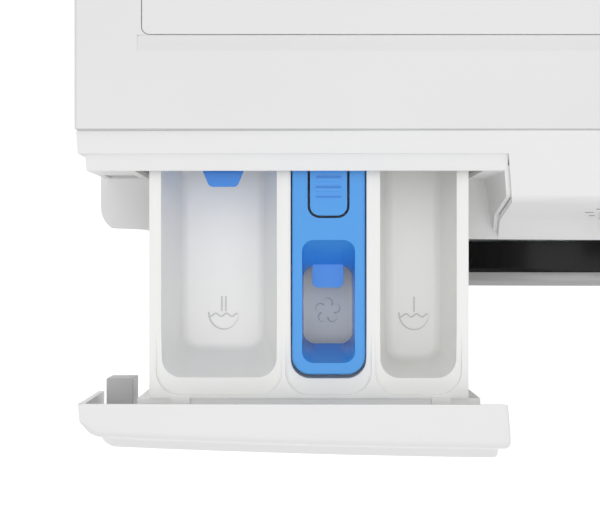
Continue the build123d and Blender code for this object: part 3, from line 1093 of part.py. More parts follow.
def make_glass():
    """The glass bowl: a flange, a tapering wall and a domed bottom."""
    t = GLASS_WALL
    flange_front = RIM_BACK + 4.3
    mouth = OPENING_R - 25
    wall = [(GLASS_R, flange_front), (GLASS_R, -9 - GAP), (mouth + 8, -9 - GAP), (mouth + 6, -4),
            (mouth, 16), (GLASS_NOSE_R + 8, GLASS_NOSE_Y - 10), (GLASS_NOSE_R - 4, GLASS_NOSE_Y),
            (0, GLASS_NOSE_Y + 6), (0, GLASS_NOSE_Y + 6 - t), (GLASS_NOSE_R - 7, GLASS_NOSE_Y - t),
            (GLASS_NOSE_R + 3, GLASS_NOSE_Y - 12), (mouth - 6, 16), (mouth, flange_front)]
    return turned_y(wall)


def make_hook():
    """The door's latch hook."""
    stem = block(HOOK_X - 5, HOOK_X + 4, -14, 20, DOOR_Z - 6, DOOR_Z + 6)
    stem -= block(HOOK_X - 1, HOOK_X + 5, 9, 15, DOOR_Z - 7, DOOR_Z + 7)
    base = block(HOOK_X - 16, HOOK_X + 4, -14, -9 - GAP, DOOR_Z - 14, DOOR_Z + 14)
    return stem + base


def make_lock():
    """The door lock behind the front, with the slot that the hook enters."""
    front = bow(HOOK_X + 20) + SHEET + GAP
    body = block(HOOK_X - 18, HOOK_X + 20, front, 40, DOOR_Z - 40, DOOR_Z + 26)
    return body - block(HOOK_X - 8, HOOK_X + 9, -5, 27, DOOR_Z - 9, DOOR_Z + 9)


def make_hinge_bracket():
    """The fixed hinge bracket on the front: two lugs and the pin."""
    plate = block(HINGE_X - 21, HINGE_X - 9, HINGE_Y - 3, bow(HINGE_X) - GAP,
                  DOOR_Z - HINGE_HALF, DOOR_Z + HINGE_HALF)
    for z0, z1 in ((HINGE_HALF - 10, HINGE_HALF), (-HINGE_HALF, -HINGE_HALF + 10)):
        arm = block(HINGE_X - 12, HINGE_X, HINGE_Y - 3, HINGE_Y + 4, DOOR_Z + z0, DOOR_Z + z1)
        plate += arm + rod_z(KNUCKLE_R, DOOR_Z + z0, DOOR_Z + z1, HINGE_X, HINGE_Y)
    return plate + rod_z(HINGE_PIN_R, DOOR_Z - HINGE_HALF + 2, DOOR_Z + HINGE_HALF - 2, HINGE_X, HINGE_Y)


def make_hinge_leaf():
    """The door's hinge leaf: a knuckle on the pin and an arm clamped inside the door."""
    half = HINGE_HALF - 10 - GAP
    leaf = rod_z(KNUCKLE_R, DOOR_Z - half, DOOR_Z + half, HINGE_X, HINGE_Y)
    leaf += block(HINGE_X, HINGE_X + 44, HINGE_Y - 1, HINGE_Y + 3.7, DOOR_Z - half, DOOR_Z + half)
    return leaf - rod_z(HINGE_PIN_R + PIN_CLEARANCE, DOOR_Z - 60, DOOR_Z + 60, HINGE_X, HINGE_Y)


def make_handle():
    """The door handle: a pull lever that swings out of its pocket on a pin at its inner edge."""
    plate = block(HANDLE_LEFT, HANDLE_RIGHT, DOOR_FRONT, DOOR_FRONT + 4,
                  DOOR_Z - HANDLE_HALF, DOOR_Z + HANDLE_HALF)
    plate = fillet([e for e in plate.edges().filter_by(Axis.Y)], 5)
    heel = rod_z(2.2, DOOR_Z - HANDLE_HALF + 6, DOOR_Z + HANDLE_HALF - 6, HANDLE_LEFT + 3, RIM_BACK - 2.5)
    web = block(HANDLE_LEFT + 1, HANDLE_LEFT + 5, DOOR_FRONT + 3, RIM_BACK - 2.5, DOOR_Z - HANDLE_HALF + 6,
                DOOR_Z + HANDLE_HALF - 6)
    return plate + heel + web


def make_transit_caps():
    """The four plugs in the transit bolt holes."""
    made = []
    for x, z in TRANSIT:
        made.append(rod_y(TRANSIT_R + 5, BODY_DEPTH, BODY_DEPTH + 3, x, z)
                    + rod_y(TRANSIT_R, BODY_DEPTH - 8, BODY_DEPTH + 1, x, z))
    return Compound(made)


def make_cable_gland():
    """The mains lead's gland in the back."""
    y = BODY_DEPTH
    gland = rod_y(CABLE_R, y - 10, y + 1, CABLE_X, CABLE_Z) + rod_y(CABLE_R + 4, y, y + 9, CABLE_X, CABLE_Z)
    return gland - rod_y(CABLE_BORE, y - 12, y + 12, CABLE_X, CABLE_Z)


def make_drain_outlet():
    """The drain stub in the back, with its collar."""
    y = BODY_DEPTH
    stub = rod_y(DRAIN_R, y - 30, y + DRAIN_REACH, DRAIN_X, DRAIN_Z)
    stub += rod_y(DRAIN_R + 3, y - 8, y, DRAIN_X, DRAIN_Z) + rod_y(DRAIN_R + 8, y, y + 2.5, DRAIN_X, DRAIN_Z)
    return stub - rod_y(DRAIN_R - 2, y - 40, y + 40, DRAIN_X, DRAIN_Z)


PARTS.update(
    cabinet_wrap=make_cabinet(), front_panel=make_front_panel(), base_pan=make_base_pan(),
    kick_plate=make_kick_plate(), worktop_frame=make_worktop_frame(), worktop_board=make_board_panel(),
    rear_panel=make_rear_panel(), top_brace=make_brace(), control_fascia=make_fascia(),
    display_window=make_display(), control_board=make_board(), programme_knob=make_knob(),
    drawer_front=make_drawer_front(), drawer_guide=make_guide(), drawer_tray=make_tray(),
    softener_cap=make_cap(), release_tab=make_release_tab(), liquid_flap=make_flap(),
    dispenser_housing=make_housing(), dispenser_cover=make_cover(), dispenser_hose=make_dispenser_hose(),
    inlet_hose=make_inlet_hose(), inlet_valve=make_valve(), tub_front=make_tub_front(),
    tub_rear=make_tub_rear(), drum_bearings=make_bearings(), door_gasket=make_gasket(),
    counterweight_top=make_top_weight(), counterweight_front=make_front_weight(),
    suspension_springs=make_springs(), damper_cylinders=make_damper_cylinders(),
    damper_rods=make_damper_rods(), motor=make_motor(), motor_pulley=make_motor_pulley(),
    drive_belt=make_belt(), drum_shell=make_drum(), drum_lifters=make_lifters(),
    drum_spider=make_spider(), drum_pulley=make_drum_pulley(), heater_element=make_heater(),
    drain_pump=make_pump(), filter_cap=make_filter_cap(), filter_hatch=make_hatch(),
    door_outer_ring=make_door_ring(), door_rim=make_door_rim(), door_inner_frame=make_door_inner(),
    door_glass=make_glass(), door_hook=make_hook(), door_lock=make_lock(),
    hinge_bracket=make_hinge_bracket(), hinge_leaf=make_hinge_leaf(), door_handle=make_handle(),
    levelling_feet=make_feet(), foot_lock_nuts=make_lock_nuts(), transit_caps=make_transit_caps(),
    cable_gland=make_cable_gland(), drain_outlet=make_drain_outlet(),
)
PARTS.update({name: make_button(*place) for name, place in BUTTONS.items()})

os.makedirs("parts", exist_ok=True)
for name, shape in PARTS.items():
    export_step(Pos(0, FRONT_Y, 0) * shape, f"parts/{name}.step")
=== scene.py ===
import json
import math

import bmesh
import bpy
from mathutils import Matrix, Vector

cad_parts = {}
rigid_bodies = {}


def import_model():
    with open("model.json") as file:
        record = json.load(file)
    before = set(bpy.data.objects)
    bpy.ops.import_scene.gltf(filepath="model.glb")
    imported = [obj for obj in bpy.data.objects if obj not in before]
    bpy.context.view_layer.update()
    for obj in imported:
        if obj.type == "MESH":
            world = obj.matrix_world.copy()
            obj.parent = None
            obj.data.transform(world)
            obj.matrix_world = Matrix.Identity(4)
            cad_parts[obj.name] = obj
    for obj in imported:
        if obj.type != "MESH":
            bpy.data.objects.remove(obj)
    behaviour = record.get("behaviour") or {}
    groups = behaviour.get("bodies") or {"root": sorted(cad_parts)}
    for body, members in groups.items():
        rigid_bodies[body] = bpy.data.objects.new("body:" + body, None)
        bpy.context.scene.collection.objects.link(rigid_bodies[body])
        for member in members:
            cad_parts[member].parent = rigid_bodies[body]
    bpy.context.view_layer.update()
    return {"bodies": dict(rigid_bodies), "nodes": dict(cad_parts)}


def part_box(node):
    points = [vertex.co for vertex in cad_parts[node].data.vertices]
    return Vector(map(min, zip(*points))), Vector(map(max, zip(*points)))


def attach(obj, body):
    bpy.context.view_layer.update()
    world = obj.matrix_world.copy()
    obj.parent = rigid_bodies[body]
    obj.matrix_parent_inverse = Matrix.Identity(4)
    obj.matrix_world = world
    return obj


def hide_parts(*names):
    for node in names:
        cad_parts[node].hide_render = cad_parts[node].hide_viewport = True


bl_info = {
    "name": "Front Load Washing Machine",
    "version": (1, 0, 0),
    "blender": (4, 5, 0),
    "location": "View3D > Sidebar > Washer",
    "description": "Dresses a front load washing machine with its detergent drawer pulled out",
    "category": "Object",
}

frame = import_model()
MM = 0.001
# The plane of the steel front, the worktop's height, the tray's rim and the drum's axle.
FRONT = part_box("front_panel")[0][1]
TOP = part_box("worktop_board")[1][2]
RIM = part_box("drawer_tray")[1][2] - 0.8 * MM
AXLE = sum(corner[2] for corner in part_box("drum_pulley")) / 2
# The radius in mm that the fascia and the drawer front are bowed to.
BOW = 6500.0
# An edge that turns by more than this is rounded or shaded as a sharp one.
SHARP = math.radians(40)
# Corners of a CAD mesh that lie closer than this are one corner.
MERGE = 0.005 * MM
# A moulding's tone and gloss wander over patches of this size, the gloss by this share.
PATCH = 90 * MM
GLOSS_DRIFT = 0.12
# The drawn lines of bare metal: their shade, the share their gloss varies by, and their depth.
LINE_SHADE = 0.82
LINE_GLOSS = 0.25
LINE_DEPTH = 0.04 * MM


def linear(hex_colour):
    """An sRGB hex colour as linear RGBA."""
    parts = [int(hex_colour[i:i + 2], 16) / 255 for i in (0, 2, 4)]
    return tuple(p / 12.92 if p <= 0.04045 else ((p + 0.055) / 1.055) ** 2.4 for p in parts) + (1.0,)


def add_node(tree, kind, values=None, links=None, **settings):
    """Adds a node, sets its properties and input values, and links sockets into it."""
    node = tree.nodes.new(kind)
    for name, value in settings.items():
        setattr(node, name, value)
    for name, value in (values or {}).items():
        node.inputs[name].default_value = value
    for name, socket in (links or {}).items():
        tree.links.new(socket, node.inputs[name])
    return node


def place(x, y, z):
    """A point in the drawing's millimetres, Y from the front plane, as metres in the row frame."""
    return Vector((x * MM, FRONT + y * MM, z * MM))


def only_verts(items):
    """The vertices among the parts of a mesh that an operator returns."""
    return [item for item in items if isinstance(item, bmesh.types.BMVert)]


def colour_setting(name, description, hex_colour):
    """A colour that the panel shows."""
    return bpy.props.FloatVectorProperty(
        name=name, description=description, subtype="COLOR", size=4, min=0, max=1,
        default=linear(hex_colour))


def length_setting(name, description, default, least=0):
    """A length that the panel shows."""
    return bpy.props.FloatProperty(
        name=name, description=description, unit="LENGTH", default=default, min=least)


class WasherColours(bpy.types.PropertyGroup):
    """Colours of the mouldings and coatings."""

    enamel: colour_setting("Enamel", "Baked white enamel of the steel panels", "E6E6E6")
    worktop: colour_setting("Worktop", "White of the worktop's surround and board", "EEEEEE")
    fascia: colour_setting("Fascia", "White moulding of the fascia and plinth", "F8F8F8")
    drawer: colour_setting("Drawer front", "White moulding of the drawer front", "F8F8F8")
    tray: colour_setting("Tray", "Natural white of the detergent tray", "F8F8F6")
    # The signs' white is darkened as painted shade, for the shading along their raised strokes.
    sign: colour_setting("Signs", "Eroded white of the signs in the tray", "D4D4D6")
    softener: colour_setting("Softener blue", "Blue of the softener insert", "46A2F2")
    # The flap's blue is darkened as painted shade, for the shade it lies in under the fascia's
    # ledge.
    flap: colour_setting("Flap blue", "Deeper blue of the liquid flap", "2A86E4")
    # The guide tongue's grey is painted shade, for the shade it lies in behind the drawer front.
    guide: colour_setting("Guide grey", "Grey of the drawer's guide tongue", "D0D0D0")
    rim: colour_setting("Door rim", "Silver grey lacquer of the door's rim", "B2B2B2")
    ring: colour_setting("Door ring", "Black of the door's outer ring", "0A0A0A")


class WasherSizes(bpy.types.PropertyGroup):
    """Sizes of the dressed details."""

    edge: length_setting("Moulded edge", "Radius on the edges of thin mouldings", 0.5 * MM)
    sign_width: length_setting("Sign stroke", "Width of the raised signs' strokes in the tray",
                               0.8 * MM)
    sign_height: length_setting("Sign height", "How far the signs stand up from the floor",
                                0.25 * MM)
    hole_radius: length_setting("Drum hole", "Radius of the drum's holes", 1.8 * MM)
    camera_height: length_setting("Camera height", "Camera above the worktop", 0.9, 0.1)


def new_material(name):
    """A material with an empty node tree."""
    material = bpy.data.materials.new(name)
    material.use_nodes = True
    material.node_tree.nodes.clear()
    return material


def tones(tree, fac, colour, shade, start=0.0, end=1.0):
    """A ramp from a darker shade of a colour to the colour itself."""
    ramp = add_node(tree, "ShaderNodeValToRGB", None, {"Fac": fac})
    stops = ramp.color_ramp.elements
    stops[0].position = start
    stops[0].color = [c * shade for c in colour[:3]] + [1]
    stops[1].position = end
    stops[1].color = colour
    return ramp.outputs["Color"]


def moulding(name, colour, roughness, grain, relief, drift=0.04, coat=0.0, inner_glow=0.0,
             shine=0.5):
    """A moulded or coated surface, with a fine grain and a slight drift of tone and gloss.

    The grain's size and relief are in millimetres, and the drift is a share of the colour.
    """
    material = new_material(name)
    tree = material.node_tree
    coords = add_node(tree, "ShaderNodeTexCoord")
    cloud = add_node(tree, "ShaderNodeTexNoise", {"Scale": 1 / PATCH, "Detail": 3.0},
                     {"Vector": coords.outputs["Object"]})
    tone = tones(tree, cloud.outputs["Fac"], colour, 1 - drift, start=0.3, end=0.7)
    gloss = add_node(tree, "ShaderNodeMapRange",
                     {"To Min": roughness * (1 - GLOSS_DRIFT),
                      "To Max": roughness * (1 + GLOSS_DRIFT)},
                     {"Value": cloud.outputs["Fac"]})
    fine = add_node(tree, "ShaderNodeTexNoise", {"Scale": 1 / (grain * MM), "Detail": 2.0},
                    {"Vector": coords.outputs["Object"]})
    bump = add_node(tree, "ShaderNodeBump", {"Strength": 0.5, "Distance": relief * MM},
                    {"Height": fine.outputs["Fac"]})
    shader = add_node(tree, "ShaderNodeBsdfPrincipled",
                      {"IOR": 1.5, "Specular IOR Level": shine, "Coat Weight": coat,
                       "Coat Roughness": 0.08, "Subsurface Weight": inner_glow,
                       "Subsurface Scale": 2 * MM, "Subsurface Radius": (1.0, 1.0, 1.0)},
                      {"Base Color": tone, "Roughness": gloss.outputs["Result"],
                       "Normal": bump.outputs["Normal"]})
    add_node(tree, "ShaderNodeOutputMaterial", None, {"Surface": shader.outputs["BSDF"]})
    return material


def metal(name, colour, roughness, stretch, pitch, axle=None):
    """Bare metal with drawn lines, their pitch in millimetres.

    The lines are stretched along the axes given, or run round an axle of the height given.
    """
    material = new_material(name)
    tree = material.node_tree
    coords = add_node(tree, "ShaderNodeTexCoord")
    along = coords.outputs["Object"]
    if axle is not None:
        flat = add_node(tree, "ShaderNodeMapping", {"Location": (0, 0, -axle), "Scale": (1, 0, 1)},
                        {"Vector": along})
        reach = add_node(tree, "ShaderNodeVectorMath", None, {0: flat.outputs["Vector"]},
                         operation="LENGTH")
        depth = add_node(tree, "ShaderNodeSeparateXYZ", None, {"Vector": along})
        spun = add_node(tree, "ShaderNodeCombineXYZ", None,
                        {"X": reach.outputs["Value"], "Y": depth.outputs["Y"]})
        along = spun.outputs["Vector"]
    drawn = add_node(tree, "ShaderNodeMapping", {"Scale": stretch}, {"Vector": along})
    lines = add_node(tree, "ShaderNodeTexNoise", {"Scale": 1 / (pitch * MM), "Detail": 4.0},
                     {"Vector": drawn.outputs["Vector"]})
    tone = tones(tree, lines.outputs["Fac"], colour, LINE_SHADE)
    gloss = add_node(tree, "ShaderNodeMapRange",
                     {"To Min": roughness * (1 - LINE_GLOSS),
                      "To Max": roughness * (1 + LINE_GLOSS)},
                     {"Value": lines.outputs["Fac"]})
    bump = add_node(tree, "ShaderNodeBump", {"Strength": 0.4, "Distance": LINE_DEPTH},
                    {"Height": lines.outputs["Fac"]})
    shader = add_node(tree, "ShaderNodeBsdfPrincipled", {"Metallic": 1.0},
                      {"Base Color": tone, "Roughness": gloss.outputs["Result"],
                       "Normal": bump.outputs["Normal"]})
    add_node(tree, "ShaderNodeOutputMaterial", None, {"Surface": shader.outputs["BSDF"]})
    return material


def pressed_glass(name):
    """Pressed borosilicate glass: clear, with the faint waves that the mould leaves."""
    wave_length, wave_depth = 35 * MM, 0.3 * MM
    material = new_material(name)
    tree = material.node_tree
    coords = add_node(tree, "ShaderNodeTexCoord")
    waves = add_node(tree, "ShaderNodeTexNoise", {"Scale": 1 / wave_length, "Detail": 1.0},
                     {"Vector": coords.outputs["Object"]})
    bump = add_node(tree, "ShaderNodeBump", {"Strength": 0.15, "Distance": wave_depth},
                    {"Height": waves.outputs["Fac"]})
    shader = add_node(tree, "ShaderNodeBsdfPrincipled",
                      {"Base Color": linear("EEF4F4"), "Roughness": 0.03, "IOR": 1.47,
                       "Transmission Weight": 1.0},
                      {"Normal": bump.outputs["Normal"]})
    add_node(tree, "ShaderNodeOutputMaterial", None, {"Surface": shader.outputs["BSDF"]})
    return material


def paint(material, *names):
    """Gives CAD nodes a material."""
    for name in names:
        mesh = frame["nodes"][name].data
        mesh.materials.clear()
        mesh.materials.append(material)


def soften(width, *names):
    """Stands a copy with merged corners and rounded edges in for painted CAD nodes."""
    for name in names:
        node = frame["nodes"][name]
        piece = bpy.data.objects.new(name + "_moulded", node.data.copy())
        bpy.context.scene.collection.objects.link(piece)
        weld = piece.modifiers.new("weld", "WELD")
        weld.merge_threshold = MERGE
        bevel = piece.modifiers.new("moulded edge", "BEVEL")
        bevel.width = width
        bevel.segments = 2
        bevel.limit_method = "ANGLE"
        bevel.angle_limit = SHARP
        bevel.use_clamp_overlap = True
        bevel.harden_normals = True
        body = next(key for key, empty in frame["bodies"].items() if empty == node.parent)
        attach(piece, body)
        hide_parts(name)


def finish_piece(bm, name, body, material, smooth=False, closed=True):
    """Turns a bmesh into a piece that rides on a body, with a closed one's faces turned outwards."""
    mesh = bpy.data.meshes.new(name)
    if closed:
        bmesh.ops.recalc_face_normals(bm, faces=bm.faces)
    bm.to_mesh(mesh)
    bm.free()
    for face in mesh.polygons:
        face.use_smooth = smooth
    mesh.materials.append(material)
    piece = bpy.data.objects.new(name, mesh)
    bpy.context.scene.collection.objects.link(piece)
    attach(piece, body)
    return piece


def ridge(bm, points, width, height):
    """Raises a thin ridge along points: an edge across the line is drawn along it, then lifted."""
    runs = [after - before for before, after in zip(points, points[1:])]
    side = Vector((-runs[0].y, runs[0].x, 0)).normalized() * width / 2
    edge = bm.edges.new([bm.verts.new(points[0] - side), bm.verts.new(points[0] + side)])
    faces = []
    for i, run in enumerate(runs):
        made = bmesh.ops.extrude_edge_only(bm, edges=[edge])["geom"]
        verts = only_verts(made)
        bmesh.ops.translate(bm, verts=verts, vec=run)
        following = runs[min(i + 1, len(runs) - 1)]
        bend = run.xy.angle_signed(following.xy)
        half = Matrix.Rotation(-bend / 2, 3, "Z")
        bmesh.ops.rotate(bm, verts=verts, cent=points[i + 1], matrix=half)
        faces += [item for item in made if isinstance(item, bmesh.types.BMFace)]
        edge = next(item for item in made if isinstance(item, bmesh.types.BMEdge)
                    and all(vert in verts for vert in item.verts))
    lifted = bmesh.ops.extrude_face_region(bm, geom=faces, use_keep_orig=True)["geom"]
    bmesh.ops.translate(bm, verts=only_verts(lifted), vec=(0, 0, height))


class WASHER_OT_panels(bpy.types.Operator):
    """Coat the steel and plastic panels of the cabinet."""

    bl_idname = "washer.panels"
    bl_label = "Cabinet panels"

    def execute(self, context):
        colours = context.scene.washer_colours
        # Baked enamel on steel: even and glossy, with a faint orange peel about 3 mm across.
        enamel = moulding("enamelled_steel", colours.enamel, 0.28, 3.0, 0.006, drift=0.012, coat=0.3)
        paint(enamel, "cabinet_wrap", "front_panel", "rear_panel")
        # Injection-moulded ABS with a spark-eroded grain, drawn at 0.7 mm so that it shows.
        satin = moulding("moulded_abs_white", colours.fascia, 0.42, 0.7, 0.05, drift=0.025)
        paint(satin, "kick_plate", "filter_hatch", "control_fascia", "door_inner_frame",
              "transit_caps", "inlet_valve", "drain_pump")
        # The same ABS for the worktop's surround, a shade greyer than the fascia.
        surround = moulding("moulded_abs_worktop", colours.worktop, 0.42, 0.7, 0.05, drift=0.025)
        paint(surround, "worktop_frame")
        soften(0.6 * MM, "worktop_frame")
        # Melamine laminate: pressed with a soft pearl of about 1.6 mm.
        laminate = moulding("melamine_laminate", colours.worktop, 0.36, 1.6, 0.04, drift=0.02)
        paint(laminate, "worktop_board")
        # Filled polypropylene, matt and a little streaky.
        dark = moulding("filled_polypropylene_dark", linear("2A2A2C"), 0.55, 0.9, 0.06, drift=0.2)
        paint(dark, "base_pan", "cable_gland", "drain_outlet", "filter_cap", "door_lock",
              "damper_cylinders", "damper_rods")
        # Moulded rubber: dull black, with dusty patches and a 1.2 mm grain.
        rubber = moulding("moulded_rubber_black", linear("1C1C1C"), 0.7, 1.2, 0.1, drift=0.25)
        paint(rubber, "levelling_feet", "drive_belt", "inlet_hose", "dispenser_hose")
        return {"FINISHED"}


class WASHER_OT_controls(bpy.types.Operator):
    """Dress the knob, buttons and display."""

    bl_idname = "washer.controls"
    bl_label = "Controls"

    # All in mm. The fascia's sloping face at its middle: from the front plane, below the worktop.
    CREST, COVE = (16.3, 26), (8.7, 95)
    # The dial's ticks: how many, their start from the knob's axis, width and thickness.
    TICKS, TICK_START, TICK_WIDTH, TICK_PROUD = 16, 30.5, 0.9, 0.3
    # Every fourth tick is a long one.
    TICK_LONG, TICK_SHORT = 4.5, 3.0
    # The pointer's size and how far its middle stands above the knob's axis.
    POINTER, POINTER_UP = (1.6, 0.5, 9), 12

    def execute(self, context):
        colours = context.scene.washer_colours
        # Lacquered ABS: a metal-flake silver with fine sparkle at 0.5 mm.
        silver = moulding("silver_lacquered_abs", colours.rim, 0.3, 0.5, 0.03, drift=0.06, coat=0.4)
        paint(silver, "programme_knob", "power_button", "start_button")
        # Smoked polycarbonate lens: glossy and nearly black.
        lens = moulding("smoked_polycarbonate", linear("0B0D10"), 0.12, 2.0, 0.01, drift=0.2,
                        coat=0.6)
        paint(lens, "display_window")
        # Solder mask on a circuit board: half-gloss green that thins and darkens in patches.
        board = moulding("solder_mask_green", linear("1E5A34"), 0.4, 0.6, 0.05, drift=0.15)
        paint(board, "control_board")
        low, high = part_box("programme_knob")
        self.dial_ticks((low + high) / 2)
        self.knob_pointer((low + high) / 2, low.y)
        return {"FINISHED"}

    def dial_ticks(self, centre):
        """Printed ticks round the knob, laid on the sloping face."""
        # Pad-printed ink: a flat grey film, a little uneven.
        ink = moulding("printed_ink_grey", linear("5A5E64"), 0.5, 0.6, 0.02, drift=0.1)
        crest = Vector((self.CREST[0], TOP / MM - self.CREST[1]))
        cove = Vector((self.COVE[0], TOP / MM - self.COVE[1]))
        lean = Matrix.Rotation(math.atan2(crest.x - cove.x, crest.y - cove.y), 4, "X").inverted()
        bm = bmesh.new()
        for i in range(self.TICKS):
            a = math.radians(360 / self.TICKS * i)
            long = self.TICK_LONG if i % 4 == 0 else self.TICK_SHORT
            r = (self.TICK_START + long / 2) * MM
            x, z = centre.x + r * math.sin(a), centre.z + r * math.cos(a)
            share = (crest.y - z / MM) / (crest.y - cove.y)
            y = crest.x + share * (cove.x - crest.x) + (x / MM) ** 2 / (2 * BOW)
            turn = Matrix.Rotation(a, 4, "Y")
            size = Matrix.Diagonal((self.TICK_WIDTH * MM, self.TICK_PROUD * MM, long * MM, 1))
            at = Matrix.Translation(Vector((x, FRONT + y * MM, z)))
            bmesh.ops.create_cube(bm, size=1, matrix=at @ lean @ turn @ size)
        finish_piece(bm, "dial_ticks", "cabinet", ink)

    def knob_pointer(self, centre, face):
        """The dark line on the knob's face."""
        # The same kind of ink, denser: a dark grey with a dull sheen.
        ink = moulding("pointer_ink", linear("26282C"), 0.5, 0.6, 0.02, drift=0.1)
        at = Vector((centre.x, face, centre.z + self.POINTER_UP * MM))
        size = Matrix.Diagonal((*(length * MM for length in self.POINTER), 1))
        bm = bmesh.new()
        bmesh.ops.create_cube(bm, size=1, matrix=Matrix.Translation(at) @ size)
        finish_piece(bm, "knob_pointer", "knob", ink)


class WASHER_OT_drawer(bpy.types.Operator):
    """Dress the detergent drawer and raise the signs in its compartments."""

    bl_idname = "washer.drawer"
    bl_label = "Detergent drawer"

    # The signs' places in mm: across, from the front plane, and below the tray's rim.
    MAIN_SIGN = (-228.8, -41.2, 52)
    PREWASH_SIGN = (-125.1, -41.5, 52)
    SOFTENER_SIGN = (-172.2, -40.3, 46)

    def execute(self, context):
        colours = context.scene.washer_colours
        sizes = context.scene.washer_sizes
        # Natural polypropylene: a little light goes in and spreads.
        tray = moulding("polypropylene_white", colours.tray, 0.3, 1.1, 0.03, drift=0.02,
                        inner_glow=0.3)
        paint(tray, "drawer_tray", "dispenser_housing", "dispenser_cover")
        # ABS with a fine satin grain, grey as painted shade for the shade the tongue lies in, darker
        # than the white mouldings round it.
        guide = moulding("abs_grey_painted_shade", colours.guide, 0.4, 0.8, 0.04, drift=0.05)
        paint(guide, "drawer_guide")
        soften(sizes.edge, "drawer_tray", "drawer_guide")
        # The signs are matt, and a shade darker than the floor as painted shade for the shading
        # along their thin raised strokes.
        sign_shade = moulding("polypropylene_sign_painted_shade", colours.sign, 0.6, 0.5, 0.05, drift=0.05)
        bm = bmesh.new()
        self.bowl(bm, self.on_floor(*self.MAIN_SIGN), 2, sizes)
        self.bowl(bm, self.on_floor(*self.PREWASH_SIGN), 1, sizes)
        self.flower(bm, self.on_floor(*self.SOFTENER_SIGN), sizes)
        finish_piece(bm, "compartment_signs", "drawer", sign_shade)
        return {"FINISHED"}

    def on_floor(self, x, y, depth):
        """A point on a compartment's floor, that many millimetres below the rim."""
        return place(x, y, RIM / MM - depth)

    def bowl(self, bm, rim, strokes, sizes):
        """A wash tub sign: a round bowl with water in it and one or two strokes above."""
        half, drop, tall, between = 8.3 * MM, 9.4 * MM, 8.2 * MM, 2.2 * MM
        water, swell, lift = -1.6 * MM, 0.9 * MM, 0.4 * MM
        turns = [math.pi * (1 + k / 20) for k in range(21)]
        arc = [rim + Vector((half * math.cos(t), drop * math.sin(t), 0)) for t in turns]
        ridge(bm, arc, sizes.sign_width, sizes.sign_height)
        waves = [rim + Vector((half * 0.9 * t / 8, water + swell * math.sin(t), 0))
                 for t in range(-8, 9)]
        ridge(bm, waves, sizes.sign_width, sizes.sign_height)
        for i in range(strokes):
            foot = rim + Vector(((i - (strokes - 1) / 2) * between, lift, 0))
            ridge(bm, [foot, foot + Vector((0, tall, 0))], sizes.sign_width, sizes.sign_height)

    def flower(self, bm, middle, sizes):
        """A five-petalled flower sign."""
        reach, petal_radius, sweep = 4.3 * MM, 2.5 * MM, 2.2
        for petal in range(5):
            a = math.radians(90 + 72 * petal)
            centre = middle + Vector((reach * math.cos(a), reach * math.sin(a), 0))
            turns = [a - sweep + 2 * sweep * k / 12 for k in range(13)]
            outline = [centre + Vector((petal_radius * math.cos(t), petal_radius * math.sin(t), 0))
                       for t in turns]
            ridge(bm, outline, sizes.sign_width * 0.8, sizes.sign_height)


